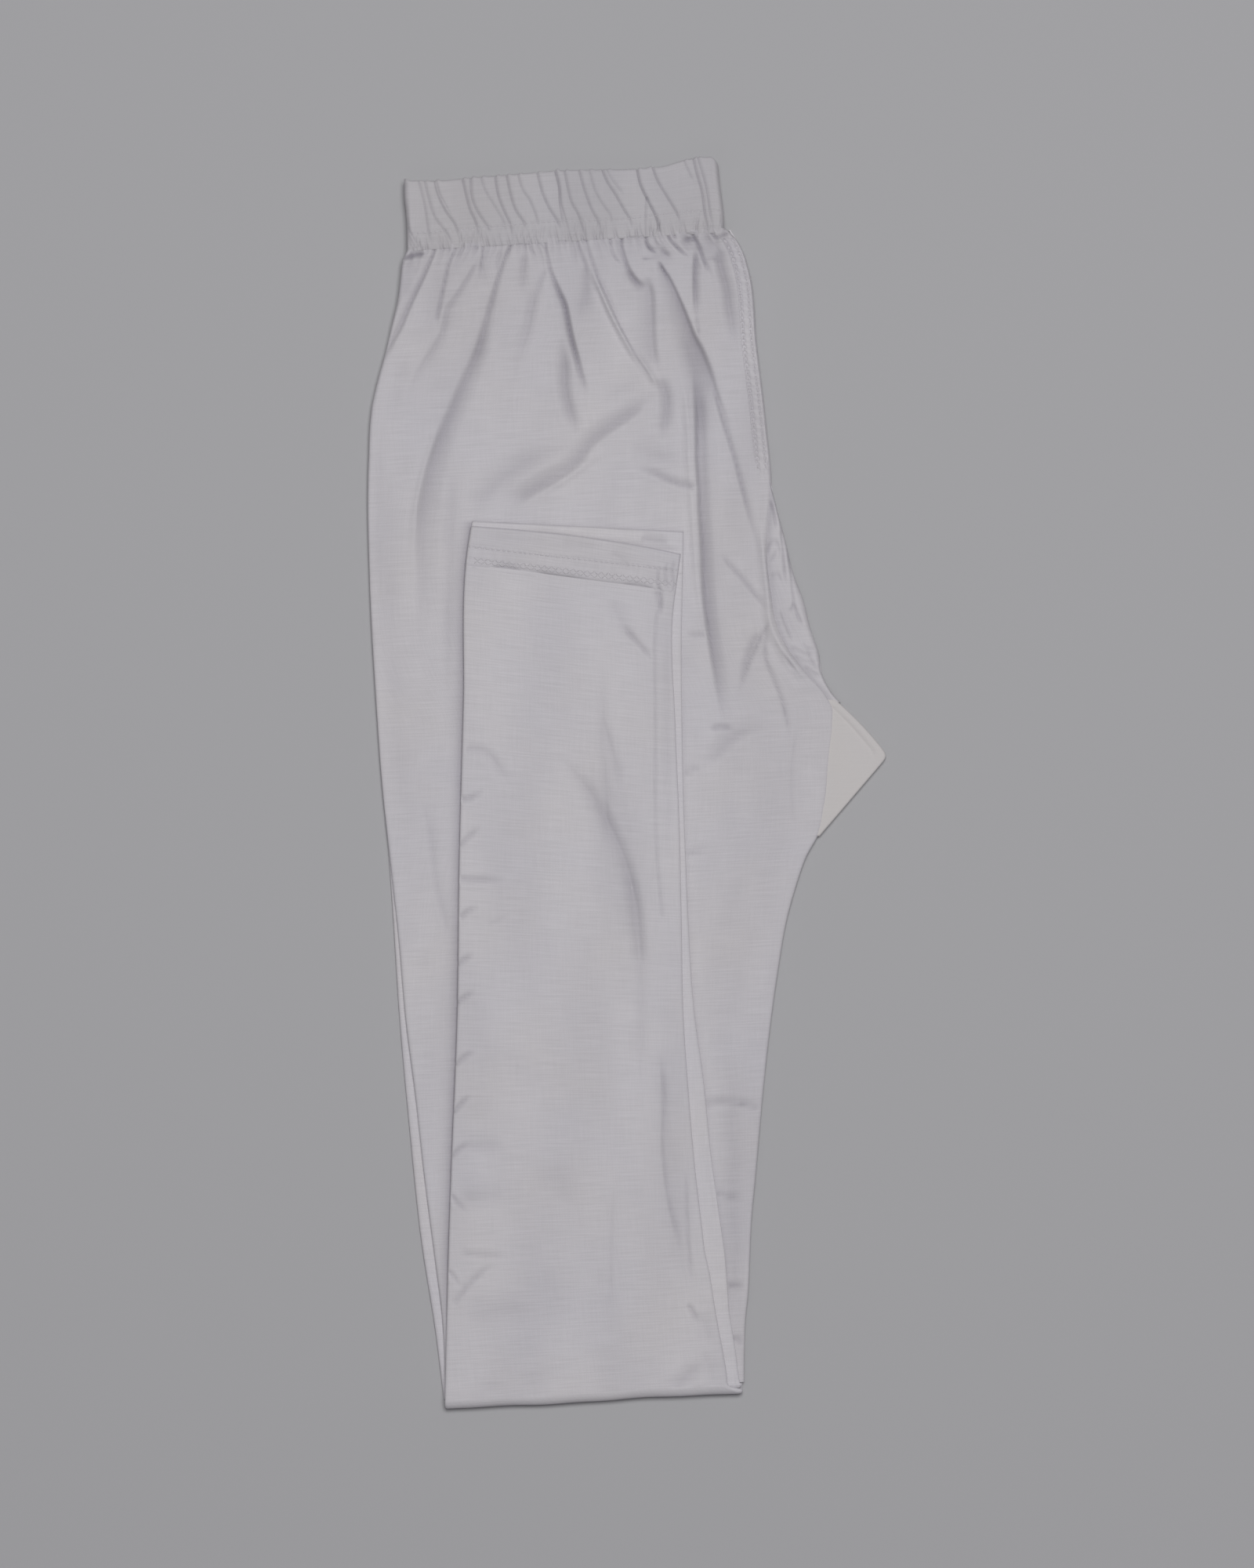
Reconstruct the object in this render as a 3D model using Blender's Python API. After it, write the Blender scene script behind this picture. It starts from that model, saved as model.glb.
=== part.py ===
"""White cotton trousers with an elastic waist, folded in half lengthwise, doubled up at the knee
and lying flat. The right leg lies below and the left leg on it. Both are folded up at the knee,
so the calves lie on the thighs with the hems towards the waist.

X runs across the legs, +Y points to the waist, +Z is up, and the underside rests on Z = 0.
The tables are in millimetres and the model is in metres."""

import bpy
import numpy as np

MM = 0.001

# Cloth
CLOTH = 1.0          # wall of one panel, with its fluff and air
GAP = 0.3            # between pieces that touch
CASING = 3.0         # the waistband: two layers of cloth over the elastic
SEAM_WIDTH = 7.0     # felled centre seam
HEM_DEPTH = 17.0     # turned leg end
TUBE = 2.3           # one flat leg end, both its layers

# The knee fold
CALF_STACK = 4.6     # the calf layers above the thigh
FOLD_RADIUS = 5.05   # outer radius of the knee fold, half the whole pack there
SLOT = 0.8           # inner radius of the hidden layers in the fold
ROLL_LEFT = 3.5      # how far the rounded side folds reach into the panel
ROLL_RIGHT = 2.5
BAND_ROLL = 4.5
TILT = 9.5           # the right end of each row lies this much nearer to the waist
WAIST_WIDTH = 150.0  # of the folded waist
HEM_WIDTH = 100.0    # of the folded leg end
EDGE_GAP = 0.2       # half the gap between the two legs where their side folds meet
SAMPLING = 0.25      # more room between layers whose grids differ
FLAT_BELOW = -290.0  # y from where folds fade out towards the knee fold
CALF_BLEND = 5.0     # the thigh's folds fade out over this much under the calf

# Outlines: y and x of each point, from the waist down
THIGH_LEFT = (
    (253, -105), (238, -108), (210, -114), (182, -122), (154, -123.5), (98, -123), (41, -120),
    (-6, -116), (-62, -112), (-109, -109), (-165, -104), (-221, -98), (-259, -92), (-299, -87))
THIGH_RIGHT = (
    (263, 50), (255, 55), (246, 58), (210, 62), (172, 67), (135, 70), (116, 75), (88, 84), (60, 92),
    (41, 97), (10, 96), (-24, 91), (-34, 86), (-62, 77), (-90, 72), (-128, 67), (-165, 63),
    (-221, 58), (-259, 56), (-289, 55.5))
CALF_LEFT = (
    (126, -74), (112, -76), (38, -78), (-38, -80), (-112, -81), (-188, -84), (-255, -86), (-300, -87))
CALF_RIGHT = (
    (112, 26), (98, 24), (82, 22), (30, 23), (-19, 25), (-64, 26), (-112, 27), (-142, 29),
    (-188, 32), (-218, 37), (-240, 40), (-270, 46), (-292, 49))
SECOND_RIGHT = (
    (121, 27), (56, 26.5), (26, 27), (-30, 29), (-75, 31), (-109, 33), (-142, 37), (-184, 41),
    (-221, 46), (-266, 51.5), (-291, 54.5))
BAND_LEFT = ((288, -106), (270, -105.5), (254, -104))
BAND_RIGHT = ((299, 40), (296, 43), (288, 45), (276, 46), (263, 46))

# Where the rows begin and end: y at the left and at the right edge
WAIST_SEAM = (253.5, 262.5)
BAND_TOP = (288, 298.8)
KNEE = (-299 + FOLD_RADIUS, -291 + FOLD_RADIUS)
LOWER_HEM = (123, 109)
UPPER_HEM = (125, 120)
HEM_FOOT = (LOWER_HEM[0] - HEM_DEPTH, LOWER_HEM[1] - HEM_DEPTH)

# Height of the thigh stack along the left edge, from the waist down: y, height
HEIGHT = (
    (263, 12.5), (250, 13.5), (235, 12.5), (210, 10.5), (180, 8.6), (150, 7.3), (120, 6.2),
    (60, 5.6), (0, 5.5), (-300, 5.5))
BAND_HEIGHT = 13.0

# Folds of the thigh: start, middle and end of each, its half width, its depth (below 0: a
# ridge), how much it leans to its right, and the share of its length over which it sets in
FOLD_COLUMNS = ("x0", "y0", "x1", "y1", "x2", "y2", "width", "depth", "lean", "set_in")
THIGH_FOLDS = (
    (-92, 258, -101, 237, -115, 208, 3.0, 2.6, 0.5, 0.02),
    (-81, 257, -87, 240, -91, 220, 2.5, 1.5, 0.2, 0.02),
    (-70, 255, -88, 216, -107, 176, 5.0, 1.1, 0.3, 0.05),
    (-57, 258, -79, 191, -99, 90, 5.0, 3.2, 0.3, 0.02),
    (-39, 248, -48, 215, -56, 178, 5.0, 1.0, 0.0, 0.2),
    (-38, 260, -31, 226, -19, 184, 3.2, 2.4, -0.3, 0.02),
    (-31, 212, -29, 185, -23, 162, 4.5, 1.8, 0.0, 0.3),
    (-19, 261, -7, 224, 16, 188, 2.6, 1.4, 0.4, 0.02),
    (-24, 255, -14, 222, 10, 186, 3.5, -1.2, 0.0, 0.1),
    (16, 189, -16, 161, -56, 134, 5.0, 1.5, 0.3, 0.3),
    (-20, 159, -48, 153, -72, 134, 4.5, 0.9, 0.0, 0.4),
    (-2, 262, 12, 222, 20, 172, 4.2, 2.2, -0.2, 0.02),
    (16, 252, 30, 213, 50, 160, 4.0, 3.2, -0.4, 0.02),
    (34, 198, 36, 135, 45, 28, 4.5, 2.8, -0.3, 0.2),
    (33, 256, 33, 238, 36, 216, 2.2, 1.6, 0.0, 0.05),
    (44, 255, 49, 229, 55, 196, 2.8, 1.4, 0.2, 0.1),
    (40, 188, 53, 146, 64, 96, 2.4, 1.3, 0.2, 0.2),
    (44, 109, 56, 97, 68, 84, 3.0, 1.2, 0.3, 0.3),
    (69, 76, 60, 60, 51, 36, 3.2, 1.4, 0.0, 0.3),
    (69, 72, 70, 48, 77, 20, 2.8, 1.3, 0.0, 0.3),
    (72, 76, 82, 52, 95, 33, 3.0, 1.4, 0.0, 0.3),
    (38, 9, 52, 20, 70, 26, 3.0, 1.0, 0.3, 0.3),
    (-98, -6, -92, -40, -84, -76, 2.5, 1.0, 0.0, 0.3),
    (-113, -36, -103, -120, -88, -250, 2.2, 1.2, 0.3, 0.1))
CALF_FOLDS = (
    (-34, 20, -3, -20, 8, -84, 6.0, 1.2, 0.2, 0.3),
    (-12, 38, -5, 20, -2, -2, 3.5, 0.7, 0.0, 0.3),
    (14, 96, 14, 20, 17, -58, 2.2, 0.8, 0.3, 0.1),
    (16, -124, 18, -176, 25, -224, 2.6, 1.2, 0.0, 0.2),
    (29, -174, 28, -208, 31, -242, 2.2, 0.8, 0.0, 0.2),
    (-78, 16, -70, 10, -62, 5, 1.8, 0.9, 0.0, 0.05),
    (-80, -46, -70, -46, -57, -47, 1.8, 0.8, 0.0, 0.05),
    (-84, -250, -75, -236, -62, -228, 2.4, 0.9, 0.0, 0.1),
    (0, 72, 6, 66, 14, 55, 2.6, 0.8, 0.0, 0.3),
    (-8, -188, -7, -220, -8, -262, 5.0, 0.7, 0.0, 0.3))

# Pleats of the casing: x at its top edge, x and y of the foot, depth
PLEAT_COLUMNS = ("top", "foot", "foot_y", "depth")
PLEATS = (
    (-99, -95, 266, 0.6), (-96, -87, 262, 0.8), (-91, -80, 262, 0.8), (-79, -71, 264, 0.7),
    (-74, -66, 264, 0.5), (-68, -56, 263, 0.8), (-62, -54, 265, 0.7), (-57, -48, 266, 0.8),
    (-52, -42, 268, 0.7), (-43, -33, 267, 0.8), (-35, -30, 267, 0.7), (-31, -20, 262, 0.8),
    (-24, -14, 266, 0.6), (-18, -8, 270, 0.7), (-12, 1, 267, 0.8), (3, 14, 264, 0.9),
    (11, 24, 271, 0.8), (27, 33, 284, 0.4), (31, 38, 268, 0.6), (34, 41, 270, 0.6))
PLEAT_WIDTH = 1.6

# The gusset: seam side from waist to leg, and its tip
GUSSET = ((41, 98.0), (14, 124.0), (-24, 93.5))
GUSSET_HALF = 2.6

COLOURS = {
    "cloth": (0.78, 0.77, 0.80),
    "casing": (0.74, 0.73, 0.76),
    "gusset": (0.79, 0.77, 0.77),
    "inside": (0.70, 0.69, 0.72)}


def through(table, at):
    """A smooth curve through the rows (station, value): cubic pieces, each slope from its neighbours."""
    rows = np.array(sorted(table), dtype=float)
    station = rows[:, 0]
    value = rows[:, 1]
    slope = np.gradient(value, station)
    at = np.clip(at, station[0], station[-1])
    k = np.clip(np.searchsorted(station, at, side="right") - 1, 0, len(station) - 2)
    step = station[k + 1] - station[k]
    t = (at - station[k]) / step
    here = (1 + 2 * t) * (1 - t) ** 2 * value[k] + t * (1 - t) ** 2 * step * slope[k]
    return here + t ** 2 * (3 - 2 * t) * value[k + 1] + t ** 2 * (t - 1) * step * slope[k + 1]


def ease(t):
    """0 up to 1, level at both ends."""
    t = np.clip(t, 0, 1)
    return t * t * (3 - 2 * t)


def rise(distance, radius):
    """A quarter ellipse: 0 on the edge, 1 from the radius inwards."""
    t = np.clip(distance / radius, 0, 1)
    return np.sqrt(1 - (1 - t) ** 2)


def fold_relief(x, y, table):
    """Depth of all folds at each point: a bell across each fold, faded in and out along it."""
    relief = np.zeros_like(x)
    share = np.linspace(0, 1, 17)
    for row in table:
        fold = dict(zip(FOLD_COLUMNS, row))
        first = 2 * (share - 0.5) * (share - 1)
        second = 4 * share * (1 - share)
        third = 2 * share * (share - 0.5)
        line_x = first * fold["x0"] + second * fold["x1"] + third * fold["x2"]
        line_y = first * fold["y0"] + second * fold["y1"] + third * fold["y2"]
        nearest = np.full(x.shape, np.inf)
        deep = np.zeros_like(x)
        for k in range(16):
            run_x = line_x[k + 1] - line_x[k]
            run_y = line_y[k + 1] - line_y[k]
            length = np.hypot(run_x, run_y)
            along = np.clip(((x - line_x[k]) * run_x + (y - line_y[k]) * run_y) / length ** 2, 0, 1)
            off_x = x - line_x[k] - along * run_x
            off_y = y - line_y[k] - along * run_y
            away = np.hypot(off_x, off_y)
            side = np.sign(run_y * off_x - run_x * off_y)
            t = (k + along) / 16
            fade = ease(t / fold["set_in"]) * ease((1 - t) / 0.45)
            width = fold["width"] * (1 + fold["lean"] * side)
            bell = fade * np.exp(-(away / width) ** 2)
            closer = away < nearest
            nearest = np.where(closer, away, nearest)
            deep = np.where(closer, bell, deep)
        relief = relief - fold["depth"] * deep
    return relief


def covered(x, y):
    """1 where the calves lie on the thigh, 0 beside them, soft over the edge."""
    from_left = ease((x - through(CALF_LEFT, y)) / CALF_BLEND)
    from_right = ease((through(SECOND_RIGHT, y) - x) / CALF_BLEND)
    share = (x - CALF_LEFT[0][1]) / HEM_WIDTH
    hem = UPPER_HEM[0] + share * (UPPER_HEM[1] - UPPER_HEM[0])
    return from_left * from_right * ease((hem - y) / CALF_BLEND)


def thigh_top(x, y):
    """Upper face of the thigh stack."""
    row_y = y - TILT * (x - THIGH_LEFT[0][1]) / WAIST_WIDTH
    relief = fold_relief(x, y, THIGH_FOLDS) * (1 - covered(x, y))
    return through(HEIGHT, row_y) + relief * ease((y - FLAT_BELOW) / 40)


def calf_top(x, y):
    """Upper face of the calves where they lie on the thigh."""
    relief = fold_relief(x, y, CALF_FOLDS)
    return through(HEIGHT, y) + CALF_STACK + relief * ease((y - FLAT_BELOW) / 40)


def lowest(function, x, y, reach):
    """The least of a height over a small square round each point."""
    result = function(x, y)
    for dx in np.linspace(-reach[0], reach[0], 5):
        for dy in np.linspace(-reach[1], reach[1], 5):
            result = np.minimum(result, function(x + dx, y + dy))
    return result


def highest(function, x, y, reach):
    """The greatest of a height over a small square round each point."""
    return -lowest(lambda a, b: -function(a, b), x, y, reach)


def spaced(ends, fine_rows, coarse_rows, change):
    """Row stations at the left and right edges, fine near the waist and coarser below."""
    share = np.concatenate([
        np.linspace(0, change, fine_rows, endpoint=False),
        np.linspace(change, 1, coarse_rows)])
    left = ends[0][0] + share * (ends[1][0] - ends[0][0])
    right = ends[0][1] + share * (ends[1][1] - ends[0][1])
    return left, right


def plan(left_edge, right_edge, rows, roll, flats, inset=(0, 0)):
    """Plan points, rows by columns, with their distances from the left and the right edge.
    Columns stand close together round each rolled edge."""
    left_y, right_y = rows
    left_x = through(left_edge, left_y) + inset[0]
    right_x = through(right_edge, right_y) - inset[1]
    width = (right_x - left_x)[:, None]
    turn = 1 - np.cos(np.radians([0, 30, 60]))
    middle = roll[0] + np.linspace(0, 1, flats) * (width - roll[0] - roll[1])
    from_left = np.hstack([
        np.repeat(roll[0] * turn[None], len(left_y), axis=0),
        middle,
        width - roll[1] * turn[None, ::-1]])
    share = from_left / width
    x = left_x[:, None] + share * width
    y = left_y[:, None] * (1 - share) + right_y[:, None] * share
    return x, y, from_left, width - from_left


def outward(points):
    """Unit normals of a grid of points, from its central differences."""
    down = np.gradient(points, axis=0)
    across = np.gradient(points, axis=1)
    normal = np.cross(across, -down)
    return normal / np.linalg.norm(normal, axis=2, keepdims=True)


def pinch(outer, inner, thin):
    """Rounds an edge of a wall: both faces close in on their middle by the given share."""
    middle = (outer + inner) / 2
    return middle + (outer - middle) * thin[..., None], middle + (inner - middle) * thin[..., None]


def layer_edge(outer, inner, bulges, sides):
    """Adds points round the sides of a solid, so that its edge shows the layers in it.
    Each bulge is a share of the height from each face and a reach outwards."""
    for side in sides:
        column = 0 if side < 0 else -1
        top = outer[:, column]
        bottom = inner[:, column]
        upper = []
        lower = []
        for share, reach in bulges:
            shift = np.array([side * reach, 0, 0])
            upper.append(top * (1 - share) + bottom * share + shift)
            lower.append(bottom * (1 - share) + top * share + shift)
        upper = np.stack(upper, axis=1)
        lower = np.stack(lower, axis=1)
        if side < 0:
            outer = np.concatenate([upper[:, ::-1], outer], axis=1)
            inner = np.concatenate([lower[:, ::-1], inner], axis=1)
        else:
            outer = np.concatenate([outer, upper], axis=1)
            inner = np.concatenate([inner, lower], axis=1)
    return outer, inner


def loft(name, outer, inner, material):
    """A closed solid between two grids of points in millimetres: faces by section, then its rim."""
    rows, columns = outer.shape[:2]
    rings = np.concatenate([outer, inner[:, ::-1]], axis=1)
    around = 2 * columns
    faces = []
    for r in range(rows - 1):
        for k in range(around):
            after = (k + 1) % around
            faces.append((r * around + k, (r + 1) * around + k, (r + 1) * around + after, r * around + after))
    last = (rows - 1) * around
    for k in range(columns - 1):
        opposite = around - 1 - k
        faces.append((k, k + 1, opposite - 1, opposite))
        faces.append((last + k, last + opposite, last + opposite - 1, last + k + 1))
    mesh = bpy.data.meshes.new(name)
    mesh.from_pydata((rings.reshape(-1, 3) * MM).tolist(), [], faces)
    mesh.shade_smooth()
    mesh.materials.append(material)
    part = bpy.data.objects.new(name, mesh)
    collection.objects.link(part)
    return part


def cloth_material(name, colour):
    """Matt woven cotton."""
    material = bpy.data.materials.new(name)
    material.use_nodes = True
    shader = material.node_tree.nodes["Principled BSDF"]
    shader.inputs["Base Color"].default_value = (*colour, 1)
    shader.inputs["Roughness"].default_value = 0.85
    shader.inputs["Metallic"].default_value = 0.0
    return material


def thigh_rows(step):
    """Row stations of the thigh from the waist to the knee fold, or every so many of them."""
    left, right = spaced((WAIST_SEAM, KNEE), 20, 17, 0.42)
    return left[::step], right[::step]


def wall_inside(outer, thickness, corners):
    """Inner face of a wall. Its side edges stay level, so that two shells meet edge to edge."""
    inner = outer - thickness * outward(outer)
    if corners:
        inner[:, 0, 2] = outer[:, 0, 2]
        inner[:, -1, 2] = outer[:, -1, 2]
    return inner


def build_upper_leg_panel():
    """Visible thigh: its sides roll down to the middle of the stack, and it ends in the knee fold."""
    rows = thigh_rows(1)
    x, y, left, right = plan(THIGH_LEFT, THIGH_RIGHT, rows, (ROLL_LEFT, ROLL_RIGHT), 20)
    middle = through(HEIGHT, y) / 2 + EDGE_GAP
    z = middle + (thigh_top(x, y) - middle) * rise(left, ROLL_LEFT) * rise(right, ROLL_RIGHT)
    outer = np.stack([x, y, z], axis=2)
    inner = wall_inside(outer, CLOTH, True)
    loft("upper_leg_panel", outer, inner, cloth_material("upper_leg_cloth", COLOURS["cloth"]))


def build_inner_thigh_layers():
    """The two thigh layers between the visible panel and the one on the floor."""
    deep = CLOTH + GAP
    rows = thigh_rows(2)
    roll = (ROLL_LEFT - deep, ROLL_RIGHT - deep + 0.4)
    x, y, left, right = plan(THIGH_LEFT, THIGH_RIGHT, rows, roll, 11, (deep + 0.7, deep + 1.2))
    middle = through(HEIGHT, y) / 2
    round_off = rise(left + 0.3, roll[0] + 0.3) * rise(right + 0.3, roll[1] + 0.3)
    top = lowest(thigh_top, x, y, (10, 14)) - deep - SAMPLING
    outer = np.stack([x, y, middle + (top - middle) * round_off], axis=2)
    inner = np.stack([x, y, middle - (middle - deep) * round_off], axis=2)
    outer, inner = layer_edge(outer, inner, ((0.45, -0.3),), (-1, 1))
    loft("inner_thigh_layers", outer, inner, cloth_material("inner_thigh_cloth", COLOURS["inside"]))


def knee_rows(left_edge, right_edge, angles, radius, left_inset, right_x, flats, roll):
    """Rows round the knee fold, from the calf side down to the floor side."""
    grids = []
    for angle, end_x in zip(angles, right_x):
        turn = np.radians(angle)
        left = np.array([KNEE[0] - radius * np.sin(turn)])
        right = np.array([KNEE[1] - radius * np.sin(turn)])
        edge = ((-400, end_x), (400, end_x))
        x, y, from_left, from_right = plan(left_edge, edge, (left, right), roll, flats, (left_inset, 0))
        grids.append((x, y, from_left, from_right, np.full_like(x, turn)))
    return [np.concatenate(part, axis=0) for part in zip(*grids)]


def build_lower_leg_panel():
    """Outer cloth of the leg underneath, in one piece: the top calf, the knee fold and the floor sheet."""
    flats = 13
    roll = (ROLL_LEFT, ROLL_RIGHT)
    rows = spaced(((HEM_FOOT[0] - GAP, HEM_FOOT[1] - GAP), KNEE), 1, 24, 0.01)
    x, y, left, right = plan(CALF_LEFT, CALF_RIGHT, rows, roll, flats)
    top = calf_top(x, y)
    calf = np.stack([x, y, top - (CALF_STACK - 0.9) * (1 - rise(left, ROLL_LEFT))], axis=2)

    angles = np.linspace(18, 162, 7)
    right_x = 49 + 6.5 * ease(angles / 180)
    x, y, left, right, turn = knee_rows(CALF_LEFT, None, angles, FOLD_RADIUS, 0, right_x, flats, roll)
    depth = (CALF_STACK - 0.9) * (1 - turn / np.pi) + FOLD_RADIUS / 2 * turn / np.pi
    depth = depth * (1 - rise(left, ROLL_LEFT))
    wrap = np.stack([
        x,
        y + depth * np.sin(turn),
        FOLD_RADIUS + (FOLD_RADIUS - depth) * np.cos(turn)], axis=2)

    rows = thigh_rows(2)
    x, y, left, right = plan(THIGH_LEFT, THIGH_RIGHT, (rows[0][::-1], rows[1][::-1]), roll, flats)
    middle = through(HEIGHT, y) / 2 - EDGE_GAP
    set_in = ease((y - KNEE[0]) / 20)
    depth_right = (1 - rise(right, ROLL_RIGHT)) * set_in
    depth_left = (1 - rise(left, ROLL_LEFT)) * (FOLD_RADIUS / 2 / middle * (1 - set_in) + set_in)
    floor = np.stack([x, y, middle * np.maximum(depth_left, depth_right)], axis=2)

    outer = np.concatenate([calf, wrap, floor], axis=0)
    inner = wall_inside(outer, CLOTH, False)
    on_floor = slice(-len(floor) + 2, None)
    inner[on_floor, 0, 2] = outer[on_floor, 0, 2]
    inner[on_floor, -1, 2] = outer[on_floor, -1, 2]
    loft("lower_leg_panel", outer, inner, cloth_material("lower_leg_cloth", COLOURS["cloth"]))


def build_inner_calf_layers():
    """The hidden calf layers, layered at their right edge, and their way round the knee fold."""
    deep = CLOTH + GAP
    flats = 9
    roll = (ROLL_LEFT - deep, 1.0)
    inset = deep + 0.6
    rows = spaced(((HEM_FOOT[0] - 3 * GAP, HEM_FOOT[1] - 3 * GAP), KNEE), 1, 14, 0.01)
    x, y, left, right = plan(CALF_LEFT, SECOND_RIGHT, rows, roll, flats, (inset, 0))
    floor = highest(thigh_top, x, y, (8, 17)) + GAP
    top = lowest(calf_top, x, y, (8, 17)) - deep - SAMPLING
    half = (top - floor) / 2 * rise(left + 0.5, roll[0] + 0.5)
    middle = (top + floor) / 2
    calf_outer = np.stack([x, y, middle + half], axis=2)
    calf_inner = np.stack([x, y, middle - half], axis=2)

    angles = np.linspace(20, 170, 8)
    right_x = 54.5 - 3.0 * ease(angles / 150)
    x, y, left, right, turn = knee_rows(CALF_LEFT, None, angles, 0, inset, right_x, flats, roll)
    thick = rise(left + 0.5, roll[0] + 0.5)
    far = FOLD_RADIUS - deep - 0.1
    mean = (far + SLOT) / 2
    reach = (far - SLOT) / 2 * thick
    wrap_outer = np.stack([
        x, y - (mean + reach) * np.sin(turn), FOLD_RADIUS + (mean + reach) * np.cos(turn)], axis=2)
    wrap_inner = np.stack([
        x, y - (mean - reach) * np.sin(turn), FOLD_RADIUS + (mean - reach) * np.cos(turn)], axis=2)

    outer = np.concatenate([calf_outer, wrap_outer], axis=0)
    inner = np.concatenate([calf_inner, wrap_inner], axis=0)
    outer, inner = layer_edge(outer, inner, ((0.16, 0.2), (0.33, -0.5), (0.45, 0.2)), (1,))
    loft("inner_calf_layers", outer, inner, cloth_material("inner_calf_cloth", COLOURS["inside"]))


def build_hem(name, hem, right_edge, lift, thick, out):
    """A flat leg end: both layers turned under, with rounded sides and a rounded end."""
    rows = spaced((hem, HEM_FOOT), 4, 5, 0.12)
    x, y, left, right = plan(CALF_LEFT, right_edge, rows, (1.2, 1.2), 8, (out, 0))
    base = through(HEIGHT, y) + lift
    centre = np.stack([x, y, base + thick / 2], axis=2)
    half = np.array([0, 0, thick / 2])
    end = np.clip((rows[0][0] - rows[0]) / 1.4, 0, 1)[:, None]
    thin = np.maximum(np.sqrt(1 - (1 - end) ** 2), 0.2) * np.maximum(rise(np.minimum(left, right), 1.2), 0.2)
    outer, inner = pinch(centre + half, centre - half, thin)
    loft(name, outer, inner, cloth_material(name + "_cloth", COLOURS["cloth"]))


def build_centre_seam():
    """The felled seam: a strip that lies on the visible panel beside its right edge."""
    rows = spaced(((WAIST_SEAM[0] - TILT, WAIST_SEAM[1] - 2), (41 - TILT + 2, 43)), 12, 20, 0.3)
    right_y = rows[1]
    right_x = through(THIGH_RIGHT, right_y)
    slope = np.gradient(right_x, right_y)
    span = np.array([SEAM_WIDTH + ROLL_RIGHT, SEAM_WIDTH * 0.5 + ROLL_RIGHT, ROLL_RIGHT])[None]
    across = 1 / np.sqrt(1 + slope ** 2)
    x = right_x[:, None] - span * across[:, None]
    y = right_y[:, None] + span * (slope * across)[:, None]
    z = highest(thigh_top, x, y, (3, 4)) + GAP
    under = np.stack([x, y, z], axis=2)
    over = under + np.array([0, 0, CLOTH])
    thin = np.ones_like(x)
    thin[0] = 0.5
    thin[-1] = 0.5
    outer, inner = pinch(over, under, thin)
    loft("centre_seam", outer, inner, cloth_material("seam_cloth", COLOURS["casing"]))


def build_gusset(name, base, panel_rows):
    """Half of the folded diamond: a flat triangle with rounded folds, its seam side to the leg."""
    share = np.concatenate([np.linspace(0, 0.42, 6), np.linspace(0.46, 1, 7)])
    seam_y = GUSSET[0][0] + share * (GUSSET[2][0] - GUSSET[0][0])
    edge_y = np.sort(panel_rows[1])
    seam_x = np.interp(seam_y, edge_y, through(THIGH_RIGHT, edge_y)) + 1.5 * GAP
    tip_share = (GUSSET[0][0] - GUSSET[1][0]) / (GUSSET[0][0] - GUSSET[2][0])
    toward = np.where(share < tip_share, share / tip_share, (1 - share) / (1 - tip_share))
    out_x = seam_x + 1.5 + (GUSSET[1][1] - seam_x - 1.5) * toward
    across = np.array([0, 0.35, 0.7, 0.9, 1.0])[None]
    x = seam_x[:, None] + (out_x - seam_x)[:, None] * across
    y = np.repeat(seam_y[:, None], 5, axis=1)
    away = np.minimum((out_x[:, None] - x), 2.0)
    ends = np.minimum(np.abs(seam_y - GUSSET[0][0]), np.abs(seam_y - GUSSET[2][0]))[:, None]
    thin = np.maximum(rise(away, 2.0), 0.25) * np.maximum(rise(ends, 1.5), 0.3)
    outer = np.stack([x, y, np.full_like(x, base + GUSSET_HALF)], axis=2)
    inner = np.stack([x, y, np.full_like(x, base)], axis=2)
    if base > 0:
        outer, inner = pinch(outer, inner, thin)
    else:
        outer[..., 2] = GUSSET_HALF * (0.4 + 0.6 * thin)
    loft(name, outer, inner, cloth_material(name + "_cloth", COLOURS["gusset"]))


def band_rows(top_rows, rows, lower_by):
    """Row stations of the casing from its top edge to the waist seam, closer together at its top."""
    top = (BAND_TOP[0] - lower_by, BAND_TOP[1] - lower_by)
    return spaced((top, (WAIST_SEAM[0] + 2 * GAP, WAIST_SEAM[1] + 2 * GAP)), top_rows, rows, 0.06)


def band_end(rows, radius):
    """How far the top edge of the casing is closed in, row by row."""
    return np.maximum(rise((rows[0][0] - rows[0])[:, None], radius), 0.15)


def build_waistband_upper():
    """The visible casing: pleated outside, plain inside, its ends rolled down to the middle."""
    rows = band_rows(4, 8, 0)
    x, y, left, right = plan(BAND_LEFT, BAND_RIGHT, rows, (BAND_ROLL, BAND_ROLL), 44)
    middle = BAND_HEIGHT / 2 + EDGE_GAP
    z = middle + (BAND_HEIGHT - middle) * rise(left, BAND_ROLL) * rise(right, BAND_ROLL)
    base = np.stack([x, y, z], axis=2)
    facing = outward(base)
    relief = np.zeros_like(x)
    for row in PLEATS:
        pleat = dict(zip(PLEAT_COLUMNS, row))
        top_y = BAND_TOP[0] + (BAND_TOP[1] - BAND_TOP[0]) * (pleat["top"] - BAND_LEFT[0][1]) / WAIST_WIDTH
        t = np.clip((top_y - y) / (top_y - pleat["foot_y"]), 0, 1)
        away = x - pleat["top"] - (pleat["foot"] - pleat["top"]) * t ** 1.3
        width = np.where(away > 0, PLEAT_WIDTH, 0.6 * PLEAT_WIDTH)
        past = np.clip((pleat["foot_y"] - y) / 4, 0, 1)
        relief = relief - pleat["depth"] * np.exp(-(away / width) ** 2) * (1 - past)
    outer = base + facing * relief[..., None]
    inner = wall_inside(base, CASING, True)
    outer, inner = pinch(outer, inner, band_end(rows, CASING / 2) * np.ones_like(x))
    loft("waistband_upper", outer, inner, cloth_material("waistband_upper_cloth", COLOURS["casing"]))


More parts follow.
